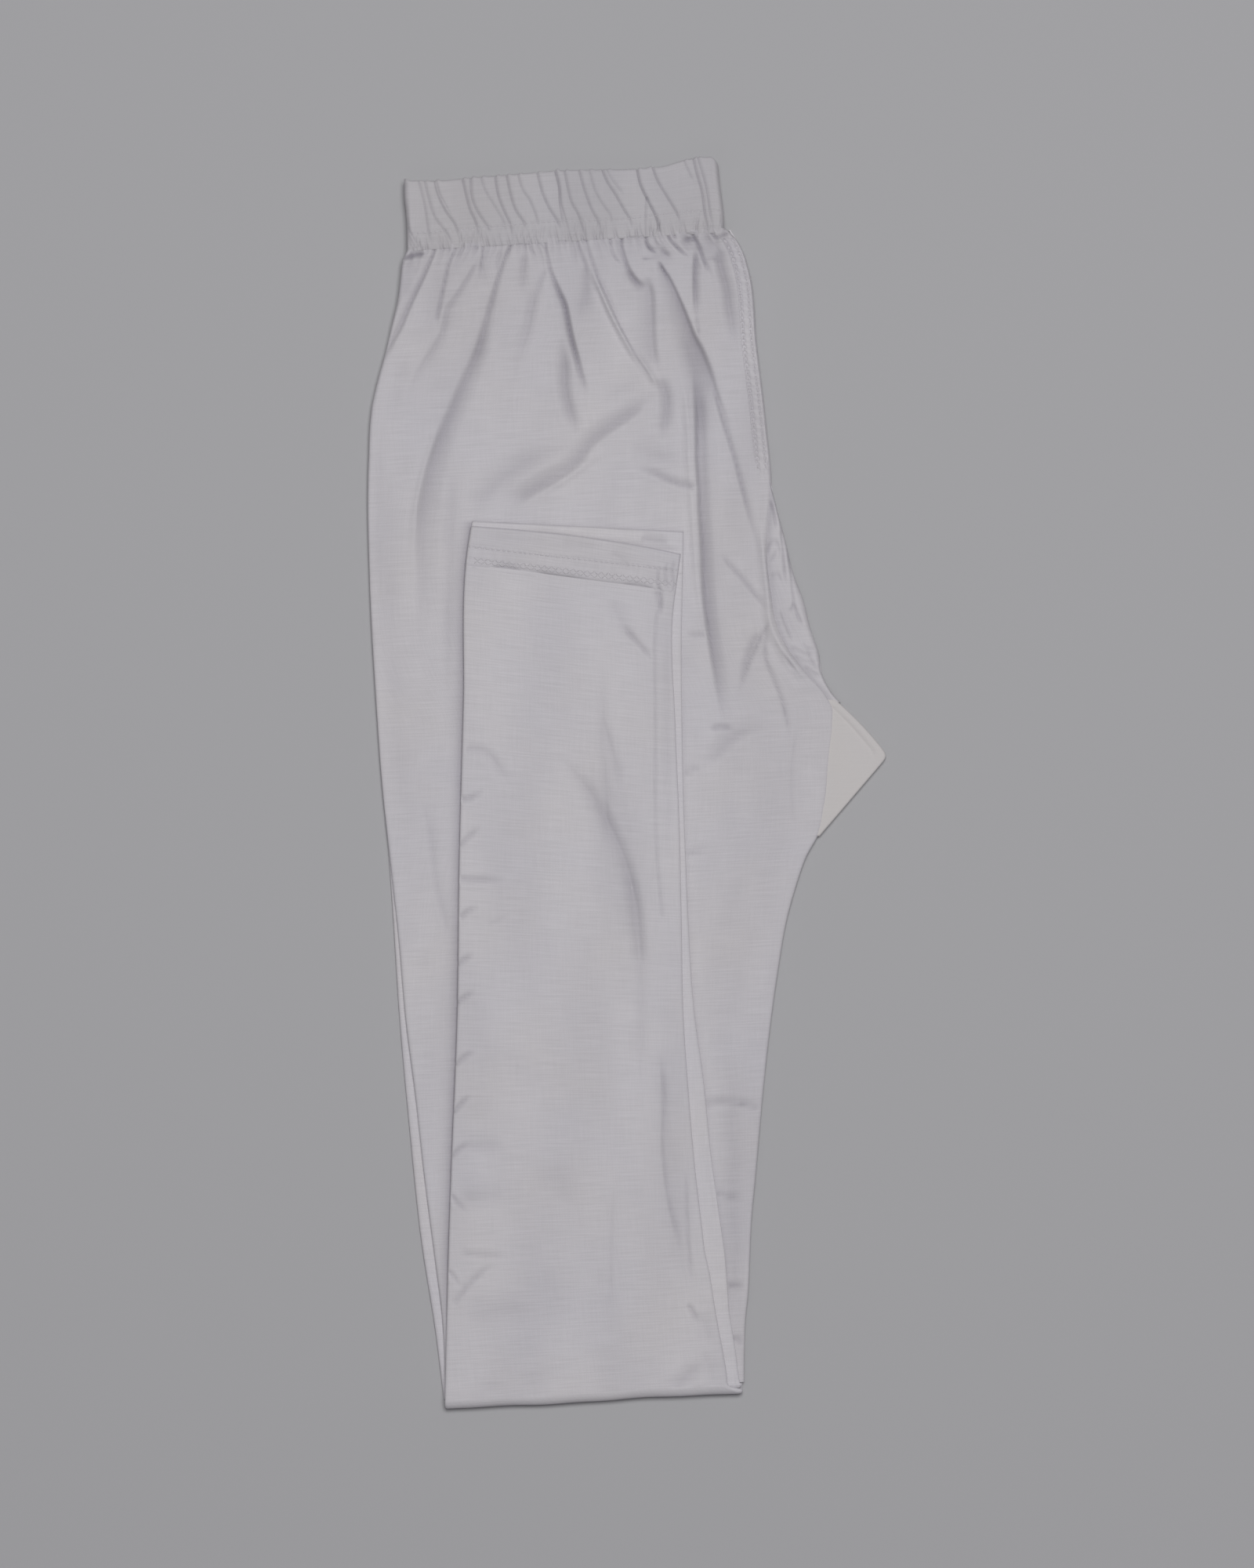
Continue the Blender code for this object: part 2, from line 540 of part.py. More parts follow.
def build_waistband_lower():
    """The casing on the floor: flat below, its ends rolled up to the middle."""
    rows = band_rows(4, 4, 0)
    x, y, left, right = plan(BAND_LEFT, BAND_RIGHT, rows, (BAND_ROLL, BAND_ROLL), 5)
    middle = BAND_HEIGHT / 2 - EDGE_GAP
    z = middle * (1 - rise(left, BAND_ROLL) * rise(right, BAND_ROLL))
    floor = np.stack([x, y, z], axis=2)
    raised = wall_inside(floor, -CASING, True)
    close = band_end(rows, CASING / 2) * np.ones_like(x)
    raised = floor + (raised - floor) * close[..., None]
    loft("waistband_lower", raised, floor, cloth_material("waistband_lower_cloth", COLOURS["casing"]))


def build_waistband_inner():
    """The two casings between, as one solid with a groove round its edge."""
    deep = CASING + GAP
    rows = band_rows(4, 4, 2.4)
    inset = deep + 0.9
    roll = (BAND_ROLL - deep, BAND_ROLL - deep)
    x, y, left, right = plan(BAND_LEFT, BAND_RIGHT, rows, roll, 7, (inset, inset))
    half = (BAND_HEIGHT / 2 - deep) * np.maximum(rise(left, roll[0]) * rise(right, roll[1]), 0.3)
    half = half * (0.45 + 0.55 * band_end(rows, CASING / 2))
    outer = np.stack([x, y, BAND_HEIGHT / 2 + half], axis=2)
    inner = np.stack([x, y, BAND_HEIGHT / 2 - half], axis=2)
    outer, inner = layer_edge(outer, inner, ((0.45, -0.5),), (-1, 1))
    loft("waistband_inner", outer, inner, cloth_material("waistband_inner_cloth", COLOURS["inside"]))


for existing in list(bpy.data.objects):
    bpy.data.objects.remove(existing, do_unlink=True)
collection = bpy.data.collections.new("folded_trousers")
bpy.context.scene.collection.children.link(collection)

build_lower_leg_panel()
build_inner_thigh_layers()
build_upper_leg_panel()
build_inner_calf_layers()
build_hem("upper_leg_hem", UPPER_HEM, SECOND_RIGHT, GAP, TUBE, 0.5)
build_hem("lower_leg_hem", LOWER_HEM, CALF_RIGHT, 2 * GAP + TUBE, TUBE, 0)
build_centre_seam()
build_gusset("gusset_lower", 0, thigh_rows(2))
build_gusset("gusset_upper", GUSSET_HALF + GAP, thigh_rows(1))
build_waistband_lower()
build_waistband_inner()
build_waistband_upper()
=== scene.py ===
"""White cotton trousers with a gathered elastic waist, folded in half lengthwise and doubled up at
the knee, lying on a pale table and seen from straight above. Sizes are in millimetres, +Y points
to the waist, and MM turns them into the frame's metres."""

import bpy
import bmesh
import numpy as np
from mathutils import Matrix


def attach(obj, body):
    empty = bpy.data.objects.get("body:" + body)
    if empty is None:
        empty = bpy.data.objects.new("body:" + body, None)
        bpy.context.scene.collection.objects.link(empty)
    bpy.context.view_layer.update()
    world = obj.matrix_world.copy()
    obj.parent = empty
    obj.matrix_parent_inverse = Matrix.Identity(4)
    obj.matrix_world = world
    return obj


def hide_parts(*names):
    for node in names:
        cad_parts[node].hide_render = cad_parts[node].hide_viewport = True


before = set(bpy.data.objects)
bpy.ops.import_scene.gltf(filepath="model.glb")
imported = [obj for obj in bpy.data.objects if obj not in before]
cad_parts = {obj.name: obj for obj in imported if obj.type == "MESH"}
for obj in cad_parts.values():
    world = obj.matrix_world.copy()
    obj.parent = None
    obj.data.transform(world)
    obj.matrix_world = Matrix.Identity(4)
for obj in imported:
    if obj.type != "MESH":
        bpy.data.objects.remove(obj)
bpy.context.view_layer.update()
MM = 0.001


# Visible thigh of the leg that lies on top. One layer of plain woven cotton, cut in one piece with
# its back, so its left side is a fold and not a seam. It is gathered into the waistband, and its
# creases run down from there. The calves lie on it from the hem line to the knee fold.

WAIST_SEAM = (253.5, 262.5)
KNEE_RADIUS = 5.05
LOWEST = 1.9
KNEE = (-299 + KNEE_RADIUS, -291 + KNEE_RADIUS)
UPPER_HEM = (125.5, 120.5)
THIGH_TILT = 9.5 / 150
HEM_LEFT = -74
HEM_WIDTH = 100
EDGE_ROUND = 2.0
LEG_GAP = 0.2
FOLD_DEPTH = 6

UPPER_LEFT = (
    (256, -104.6), (254.2, -104.9), (251, -106.5), (247.5, -107.3), (243, -107.8), (230.5, -109.4),
    (219.5, -112), (208.4, -114.6), (190, -119.6), (182, -121.4), (154, -123.4), (98, -123),
    (41, -120), (-6, -116.5), (-38, -113), (-75, -109), (-112, -105.8), (-150, -101), (-188, -96.8),
    (-225, -92), (-255, -88.3), (-299, -86.5))
UPPER_RIGHT = (
    (270, 45), (266, 46.3), (263, 49.3), (260, 52), (255, 55), (246, 58), (210, 62), (172, 66.5),
    (140, 69), (122, 67.5), (106, 67), (90, 69), (78, 71.2), (69, 74.6), (61, 79.4), (52, 86.6),
    (43, 94.4), (36, 98.2), (30, 98.4), (10, 96.5), (-10, 94.5), (-24, 91.5), (-34, 86), (-48, 81),
    (-62, 77), (-90, 72), (-128, 67), (-165, 63.4), (-190, 61.2), (-208, 59.5), (-225, 58.7),
    (-243, 57.9), (-257, 56.5), (-270, 56.1), (-289, 56))
CALF_LEFT = (
    (126, -73.8), (112, -76), (38, -78), (-38, -80), (-112, -81), (-188, -84), (-255, -86),
    (-300, -87))
SECOND_RIGHT = (
    (121, 27), (56, 26), (26, 26.3), (-12, 27.2), (-54, 28.8), (-80, 30), (-109, 32.2),
    (-142, 36.6), (-184, 41), (-195, 42.6), (-208, 44.4), (-225, 46.8), (-240, 48), (-251, 48.8),
    (-263, 50.6), (-271, 51.9), (-283, 53.4), (-291, 55))

# Height of the folded thigh along its left edge: y, height
THIGH_HEIGHT = (
    (270, 12.7), (258, 12.78), (254, 12.86), (250, 12.96), (245, 12.85), (235, 12.1), (210, 10.4),
    (180, 8.6), (150, 7.3), (120, 6.2), (60, 5.6), (0, 5.5), (-300, 5.5))

# Creases: half width at the start, how many times wider at the end, depth (below 0: a ridge),
# lean to the right, share over which it sets in, share over which it dies away, and its path
CREASE = ("width", "widens", "depth", "lean", "sets_in", "dies", "path")
CREASE_STEPS = 26
THIGH_CREASES = (
    (0.8, 2.4, 2.2, -0.35, 0.05, 0.15, ((-90.5, 257), (-93, 251), (-96.7, 242.5), (-101, 234),
        (-104.5, 226.5), (-108.5, 217.5), (-112, 211.5), (-116.5, 201))),
    (0.7, 1.4, 1.8, 0.0, 0.1, 0.12, ((-80.2, 258), (-83, 252.5), (-85, 247.5), (-86.5, 241),
        (-88.5, 232.5), (-90, 225.5), (-91.2, 219))),
    (0.9, 1.0, -0.5, 0.0, 0.3, 0.3, ((-91.6, 221), (-93, 218), (-95, 214))),
    (0.7, 1.0, 0.8, 0.0, 0.05, 0.4, ((-77.6, 258), (-79.5, 253.5), (-82, 249))),
    (0.7, 1.0, 0.6, 0.0, 0.05, 0.4, ((-79.6, 257), (-81.4, 253), (-83.4, 250))),
    (1.1, 2.0, 1.3, 0.3, 0.08, 0.3, ((-70.5, 250.5), (-74.5, 243), (-78.6, 236.5), (-82, 231.5),
        (-85.3, 226.5), (-87, 219), (-88.3, 214), (-91, 209.5), (-94.5, 203.5), (-99, 196.5),
        (-104, 186), (-108, 170))),
    (0.7, 1.0, 1.7, 0.0, 0.2, 0.4, ((-68.6, 259), (-68.7, 252.5), (-69.5, 248), (-70, 242))),
    (2.4, 1.0, 0.8, 0.0, 0.4, 0.4, ((-69.5, 250), (-68.6, 243), (-67.6, 235))),
    (1.4, 1.0, 0.7, 0.0, 0.2, 0.4, ((-60.5, 254), (-61.5, 248), (-62, 243))),
    (0.6, 3.6, 1.9, 0.15, 0.06, 0.5, ((-53.6, 260), (-57.5, 252.5), (-60, 245.5), (-62.5, 237.5),
        (-64.5, 230), (-66.5, 223), (-68.8, 214.5), (-71, 206.5), (-73.5, 199.5), (-77, 192))),
    (2.2, 1.4, 2.9, 0.35, 0.2, 0.24, ((-65.5, 226), (-68.8, 214.5), (-71.5, 205.5), (-77, 193),
        (-83, 179), (-89, 165), (-92.4, 154.5), (-95.3, 141.7), (-97.8, 127), (-98.4, 95),
        (-98.5, 50))),
    (1.3, 1.2, -0.8, 0.0, 0.3, 0.3, ((-88.5, 174), (-93.5, 160), (-97.6, 147), (-100.8, 130),
        (-101.4, 95))),
    (5.0, 1.4, 0.6, 0.2, 0.1, 0.5, ((-62, 238), (-80, 192), (-93, 130), (-94, 50))),
    (1.3, 1.9, 1.0, 0.0, 0.15, 0.4, ((-38, 246), (-40.5, 241), (-43.5, 233.5), (-45.5, 226.5),
        (-47.5, 217), (-51, 206), (-54, 197), (-58, 182))),
    (2.8, 1.0, 0.6, 0.0, 0.2, 0.4, ((-45, 236), (-48, 220), (-52, 204))),
    (0.7, 1.0, 1.2, 0.0, 0.2, 0.4, ((-48.6, 263), (-48.6, 258), (-48.2, 252))),
    (1.8, 1.0, 1.4, 0.0, 0.25, 0.5, ((-48.4, 255), (-49.6, 246), (-50, 240), (-50.6, 231))),
    (0.7, 1.0, 0.9, 0.0, 0.02, 0.4, ((-47.6, 259), (-45.5, 254.5), (-42.5, 250))),
    (0.7, 1.0, 0.9, 0.0, 0.1, 0.3, ((-42.4, 258.4), (-40.4, 256.4), (-38.4, 254.6))),
    (0.7, 1.7, 1.9, -0.1, 0.1, 0.12, ((-39.2, 264), (-39, 259), (-38.5, 254.5), (-37.6, 250),
        (-36.8, 245.5), (-35, 240.5), (-32.5, 234.5), (-29.8, 228.5), (-28.3, 221), (-27, 214),
        (-25.5, 208.5), (-23.7, 202), (-22.3, 196.5), (-20.5, 190.5), (-20.2, 184))),
    (1.8, 1.0, 2.3, -0.4, 0.35, 0.35, ((-37.2, 247), (-34.6, 239.6), (-32, 233.5), (-29.4, 227),
        (-27.8, 219), (-26.4, 212), (-24.6, 205), (-22.6, 198), (-21, 191))),
    (2.3, 1.0, 2.7, -0.1, 0.3, 0.35, ((-31.8, 216), (-30.6, 207), (-29.8, 199), (-29.6, 190),
        (-28.4, 182.5), (-26.8, 176.5), (-25, 171), (-23.5, 163))),
    (0.7, 1.4, 1.6, 0.0, 0.1, 0.3, ((-24.8, 262), (-22.5, 255), (-21, 250.5), (-19.7, 246.5),
        (-19, 241))),
    (0.7, 1.0, 0.9, 0.0, 0.1, 0.4, ((-27, 263), (-25.5, 257.5), (-24.6, 253.5), (-24, 246))),
    (2.2, 1.3, 1.7, 0.0, 0.25, 0.5, ((-20, 248), (-19.4, 240), (-20, 231), (-22, 225),
        (-22.8, 214))),
    (0.7, 1.4, 1.6, 0.2, 0.04, 0.3, ((-19.5, 264), (-19.3, 258), (-18.5, 254.5), (-16.5, 248.5),
        (-14.5, 243), (-12, 237.5), (-9, 231.5), (-6.5, 225.5), (-3.5, 219), (0, 212), (4, 204.5),
        (8.6, 198), (12, 193), (14.4, 189))),
    (1.2, 1.3, -1.9, 0.0, 0.15, 0.12, ((-17.5, 246), (-13, 236), (-9.5, 228), (-5.5, 220),
        (-1.5, 213), (3, 206), (7.5, 200.5), (12, 194), (15.6, 187.4))),
    (0.7, 1.3, 0.5, 0.0, 0.3, 0.4, ((-16.4, 241), (-14.5, 236), (-12, 229.5), (-9.5, 223.5),
        (-6.5, 217.5), (-3, 210.5), (1.5, 203.5), (6, 197))),
    (1.0, 1.0, 0.7, 0.0, 0.2, 0.3, ((-8.6, 263.5), (-8, 260), (-7.8, 256.5))),
    (0.7, 1.0, 1.6, 0.0, 0.1, 0.25, ((-8.2, 260), (-7.8, 256.5), (-6.8, 252.5), (-5.3, 250),
        (-2.2, 247.4))),
    (0.7, 1.9, 2.2, -0.2, 0.1, 0.2, ((-1.5, 268), (-2.3, 260.5), (-2.8, 257.5), (-1.8, 252.5),
        (-0.6, 248.5), (1, 244.5), (3.2, 241), (5.8, 238.3), (9.4, 236.4))),
    (1.3, 1.0, 0.6, 0.0, 0.3, 0.3, ((-2, 264), (-2.5, 260), (-2.4, 256.5))),
    (2.0, 1.0, 1.4, -0.3, 0.3, 0.3, ((-0.4, 246.5), (2.4, 241), (6, 237.6), (9.4, 236))),
    (2.7, 1.1, 2.1, -0.5, 0.15, 0.3, ((8.6, 242), (11, 234), (11.6, 223), (12, 212), (13, 203),
        (15.5, 195))),
    (0.9, 1.0, -0.6, 0.0, 0.3, 0.3, ((7.6, 242.3), (11, 241.6), (15, 241))),
    (2.3, 1.0, 2.6, 0.0, 0.25, 0.4, ((14.6, 195), (17.2, 189.5), (18.8, 184), (18.6, 176),
        (17.4, 168), (16.6, 162))),
    (2.5, 1.0, 3.0, -0.35, 0.2, 0.18, ((16, 186.4), (7.5, 181.5), (3, 177.5), (-3, 173.4),
        (-9, 169.4), (-14, 165.8), (-18, 162), (-21.6, 157), (-25.6, 152.6), (-30.6, 148.6),
        (-36.4, 145), (-42, 141.8), (-48, 138), (-52, 135), (-56, 131))),
    (1.6, 1.0, -0.7, 0.0, 0.3, 0.3, ((-8, 160.5), (-16, 155), (-24, 149), (-34, 143), (-44, 136))),
    (3.2, 1.2, 1.6, -0.2, 0.4, 0.35, ((-22, 162), (-36, 158), (-50, 152), (-61, 144), (-70, 135),
        (-77, 130))),
    (3.5, 1.0, 0.6, 0.0, 0.5, 0.4, ((10, 194), (-2, 188), (-16, 179))),
    (0.9, 1.0, 2.8, 0.2, 0.02, 0.25, ((8.8, 263), (9.3, 258), (11, 255), (14.6, 252.8))),
    (1.1, 1.0, 1.7, 0.0, 0.2, 0.4, ((15.6, 255), (18, 253), (21, 251))),
    (1.5, 1.0, -1.1, 0.0, 0.3, 0.3, ((13.4, 262), (15, 258.5), (18.8, 255.6))),
    (0.8, 1.0, 2.7, 0.0, 0.1, 0.35, ((17.8, 264.5), (20.5, 259.5), (23.5, 256), (27, 253),
        (30.5, 250.8))),
    (0.7, 1.0, 1.9, 0.0, 0.1, 0.4, ((22, 265), (22.4, 262), (22.9, 259))),
    (0.7, 1.0, 1.7, 0.0, 0.3, 0.3, ((6, 249.6), (11, 250.6), (17.6, 251.4))),
    (0.9, 1.0, 2.7, 0.0, 0.05, 0.3, ((30.6, 263), (33, 258.5), (35, 254), (37, 248.5),
        (41, 240.6))),
    (0.7, 8.5, 3.3, -0.7, 0.06, 0.4, ((14.6, 250), (18, 244), (20.7, 239.4), (24.8, 230.4),
        (28.5, 221.3), (31.4, 213.8), (35.6, 205.6), (39.7, 195.2), (42.6, 186), (46.8, 175))),
    (2.2, 1.0, 1.3, -0.7, 0.25, 0.35, ((20.7, 239.4), (24.8, 230.4), (28.5, 221.3), (31.4, 213.8),
        (35.6, 205.6), (39.7, 195.2), (43.1, 185.3), (47.4, 174.7), (50.5, 160))),
    (3.6, 1.0, 1.7, 0.0, 0.3, 0.3, ((25, 219), (30.6, 204), (34, 192), (35.5, 178), (36, 162))),
    (1.5, 1.2, 2.9, 0.45, 0.2, 0.25, ((31.6, 200), (33, 188), (33.6, 172), (33.8, 155), (34.8, 141),
        (35.2, 130), (36.4, 113), (37, 93), (39, 75), (42.8, 52), (45.3, 37), (47, 24))),
    (2.6, 1.2, 2.3, 0.3, 0.25, 0.3, ((30, 199), (34, 186), (35.6, 172), (36.4, 150), (37.4, 120),
        (38.4, 95), (40.6, 75), (44, 50), (47, 26))),
    (1.9, 1.0, -1.3, 0.0, 0.2, 0.3, ((25.5, 198), (28.6, 178), (30, 150), (31.6, 125), (33, 100),
        (34.6, 80))),
    (1.3, 1.0, 2.7, 0.4, 0.25, 0.3, ((33.2, 256), (32.6, 249), (32.3, 241), (32.6, 232),
        (33.4, 218))),
    (0.7, 1.0, 1.4, 0.0, 0.3, 0.5, ((33.2, 224), (34, 217), (35, 211))),
    (1.0, 1.0, 2.5, 0.0, 0.3, 0.3, ((24, 263.2), (27, 264), (30.4, 262.2))),
    (1.5, 1.0, 2.5, 0.0, 0.3, 0.3, ((27, 258.6), (29.8, 259.6), (32.8, 259.2))),
    (0.8, 1.0, 2.3, 0.0, 0.1, 0.4, ((36.1, 267), (40, 263), (43, 258))),
    (0.8, 1.0, 2.0, 0.0, 0.3, 0.3, ((37, 249.8), (40, 250.4), (43.6, 250.2))),
    (0.8, 1.0, 2.1, 0.0, 0.2, 0.3, ((41.6, 259.4), (45, 261.2), (49, 262.8))),
    (0.9, 1.0, -0.6, 0.0, 0.2, 0.3, ((42, 257.6), (45.4, 259.8), (49, 261.2))),
    (3.4, 1.0, 1.2, 0.0, 0.2, 0.4, ((9, 257), (16, 252.5), (24, 249))),
    (3.4, 1.0, 1.3, 0.0, 0.2, 0.3, ((24, 259), (33, 256), (44, 252))),
    (2.4, 1.0, 1.2, 0.0, 0.2, 0.3, ((36, 262), (42, 256), (47, 249))),
    (1.8, 1.4, 2.5, 0.1, 0.12, 0.4, ((42.6, 256), (45, 245), (47.5, 236), (48.5, 228), (50.5, 216),
        (53.4, 202))),
    (1.0, 1.2, 1.9, 0.3, 0.12, 0.4, ((40.5, 192), (44.4, 178), (48.4, 165), (51.2, 156),
        (54.6, 143), (57.6, 131), (60.8, 119), (63.5, 103))),
    (1.6, 1.0, 2.1, 0.2, 0.4, 0.12, ((3, 150), (8, 149.8), (14, 148), (19, 145.5), (24, 143.5),
        (29, 142), (34, 141))),
    (5.0, 1.0, 0.9, 0.0, 0.4, 0.4, ((-2, 160), (12, 157), (28, 151))),
    (0.9, 1.0, 1.2, 0.0, 0.05, 0.5, ((37, 71), (32, 71), (28, 72))),
    (1.0, 1.0, 1.3, 0.2, 0.2, 0.3, ((44, 110), (53, 100), (61, 90.4), (66, 83))),
    (0.9, 1.3, 1.5, 0.2, 0.15, 0.5, ((68, 78), (62, 66), (56, 52), (52, 37))),
    (1.0, 1.0, 1.1, 0.2, 0.3, 0.4, ((75, 62), (78, 57), (81.6, 53.6))),
    (2.1, 1.0, -1.9, 0.0, 0.15, 0.2, ((63.9, 127), (64.6, 114), (65.8, 103), (67, 90.5), (68.2, 78),
        (71.4, 69), (76.4, 61.3), (82, 54), (88, 47))),
    (1.5, 1.0, 1.7, 0.0, 0.2, 0.4, ((63, 73), (59, 65), (56, 56), (54.5, 46))),
    (1.2, 1.0, -0.7, 0.0, 0.2, 0.4, ((62, 69), (59.4, 61), (57, 52))),
    (0.9, 1.0, 1.4, 0.3, 0.1, 0.3, ((66.8, 75), (65.8, 61), (69.5, 51.5), (73.6, 41), (76.6, 29),
        (77.4, 22))),
    (1.2, 1.0, -0.7, 0.0, 0.2, 0.4, ((67.8, 68), (67.4, 60), (69, 54))),
    (1.0, 1.0, 0.4, 0.0, 0.2, 0.2, ((80.5, 26), (79, 10), (78.4, -4), (80, -24))),
    (2.7, 1.0, 1.6, 0.3, 0.3, 0.4, ((34, 7), (42, 13), (49, 20), (58, 25), (70, 27))),
    (1.4, 1.0, 1.8, 0.0, 0.3, 0.4, ((39, 26), (45, 27), (52, 26))),
    (0.9, 1.0, 1.0, 0.0, 0.1, 0.5, ((27, 5), (32, 7), (36, 8))),
    (0.9, 1.0, 0.9, 0.0, 0.1, 0.5, ((28, -34), (33, -32), (39, -32))),
    (0.9, 1.0, 1.7, 0.2, 0.1, 0.2, ((37, -153.4), (44, -152), (53, -152.6), (65, -155.6))),
    (1.7, 1.0, 1.2, 0.0, 0.2, 0.4, ((42, -195), (48, -197), (56, -198))),
    (1.5, 1.0, 1.8, 0.0, 0.2, 0.4, ((48, -239.4), (52, -239.6), (57, -240))),
    (1.2, 1.0, 2.6, 0.0, 0.2, 0.4, ((50, -265), (53, -265.6), (57, -266))),
    (4.0, 1.0, 0.9, 0.0, 0.3, 0.3, ((48, -120), (50, -160), (51.5, -220), (54, -288))),
    (6.0, 1.0, 0.6, 0.0, 0.3, 0.4, ((-82, 256), (-89, 236), (-98, 208))),
    (1.8, 1.0, 0.9, 0.3, 0.3, 0.2, ((-98, -6), (-94, -25), (-92, -42), (-90, -54), (-84, -77))),
    (5.6, 1.0, 0.6, 0.0, 0.3, 0.3, ((-112, 150), (-113, 90), (-110, 20), (-103, -40))),
    (3.4, 1.0, 0.5, 0.0, 0.3, 0.3, ((-118, 175), (-119, 130), (-117, 60))),
    (3.4, 1.0, 0.6, 0.0, 0.3, 0.4, ((-104, 205), (-110, 190), (-113, 165))),
    (3.9, 1.0, 0.6, 0.0, 0.3, 0.4, ((57, 205), (60, 175), (62, 140))),
    (2.4, 1.0, 0.9, 0.0, 0.2, 0.3, ((-83, 150), (-85, 100), (-87, 30))),
    (4.4, 1.0, 0.9, 0.0, 0.3, 0.4, ((-101, 250), (-105, 240), (-109, 226))),
    (1.2, 1.0, 2.6, 0.0, 0.2, 0.2, ((-108, 250.4), (-104, 251), (-101, 252), (-95.4, 252.7))))

# Gathers at the waist seam: x, depth, length down the cloth, drift to the right
GATHER = ("x", "depth", "length", "drift")
GATHERS = (
    (-102, 1.0, 9, -0.3), (-98, 0.8, 8, -0.3), (-95, 0.7, 6, -0.3), (-88, 0.9, 8, -0.3),
    (-85, 0.8, 6, -0.2), (-78, 0.9, 10, -0.5), (-75, 0.8, 8, -0.6), (-72, 0.7, 5, -0.3),
    (-66, 1.0, 11, -0.3), (-63, 0.7, 7, -0.3), (-60, 0.8, 7, -0.2), (-56, 0.9, 6, -0.2),
    (-52, 0.8, 6, 0.1), (-49, 0.9, 9, 0.0), (-46, 0.9, 8, 0.2), (-43, 0.9, 9, 0.3),
    (-36, 0.8, 6, 0.1), (-33, 0.9, 8, 0.1), (-30, 0.6, 5, 0.1), (-27, 0.9, 10, 0.2),
    (-24, 0.8, 9, 0.2), (-21, 0.7, 8, 0.2), (-15, 0.9, 8, 0.3), (-12, 0.8, 6, 0.4),
    (-5, 1.0, 8, 0.2), (1, 0.8, 6, 0.1), (5, 0.9, 7, 0.2), (7, 0.7, 5, 0.3), (12, 0.9, 5, 0.4),
    (16, 0.9, 6, 0.3), (22, 0.9, 6, 0.4), (26, 0.8, 7, 0.4), (28, 0.7, 5, 0.3), (38, 0.9, 7, 0.3),
    (41, 0.7, 6, 0.3), (47, 0.8, 8, 0.2))

# Finer puckers between them
PUCKERS = 130

# Where the waist seam gapes: middle and half length
SEAM_GAPS = (
    (-86.4, 2.0), (-72, 1.2), (-50.5, 1.6), (-31, 2.6), (-20.5, 1.2), (2.6, 2.4), (7, 1.2),
    (29.5, 1.4))


def through(table, at):
    """Smooth curve through rows (station, value): cubic pieces, each slope from its neighbours."""
    rows = np.array(sorted(table), dtype=float)
    station, value = rows.T
    slope = np.gradient(value, station)
    at = np.clip(at, station[0], station[-1])
    k = np.clip(np.searchsorted(station, at, side="right") - 1, 0, len(station) - 2)
    step = station[k + 1] - station[k]
    t = (at - station[k]) / step
    here = (1 + 2 * t) * (1 - t) ** 2 * value[k] + t * (1 - t) ** 2 * step * slope[k]
    return here + t ** 2 * (3 - 2 * t) * value[k + 1] + t ** 2 * (t - 1) * step * slope[k + 1]


def ease(t):
    """3 t squared less 2 t cubed: 0 up to 1, level at both ends."""
    t = np.clip(t, 0, 1)
    return t * t * (3 - 2 * t)


def smooth_path(points, count):
    """Points at even shares along a cubic curve through the given ones."""
    points = np.array(points, dtype=float)
    share = np.linspace(0, len(points) - 1, count)
    return np.stack([through(tuple(enumerate(axis)), share) for axis in points.T], axis=1)


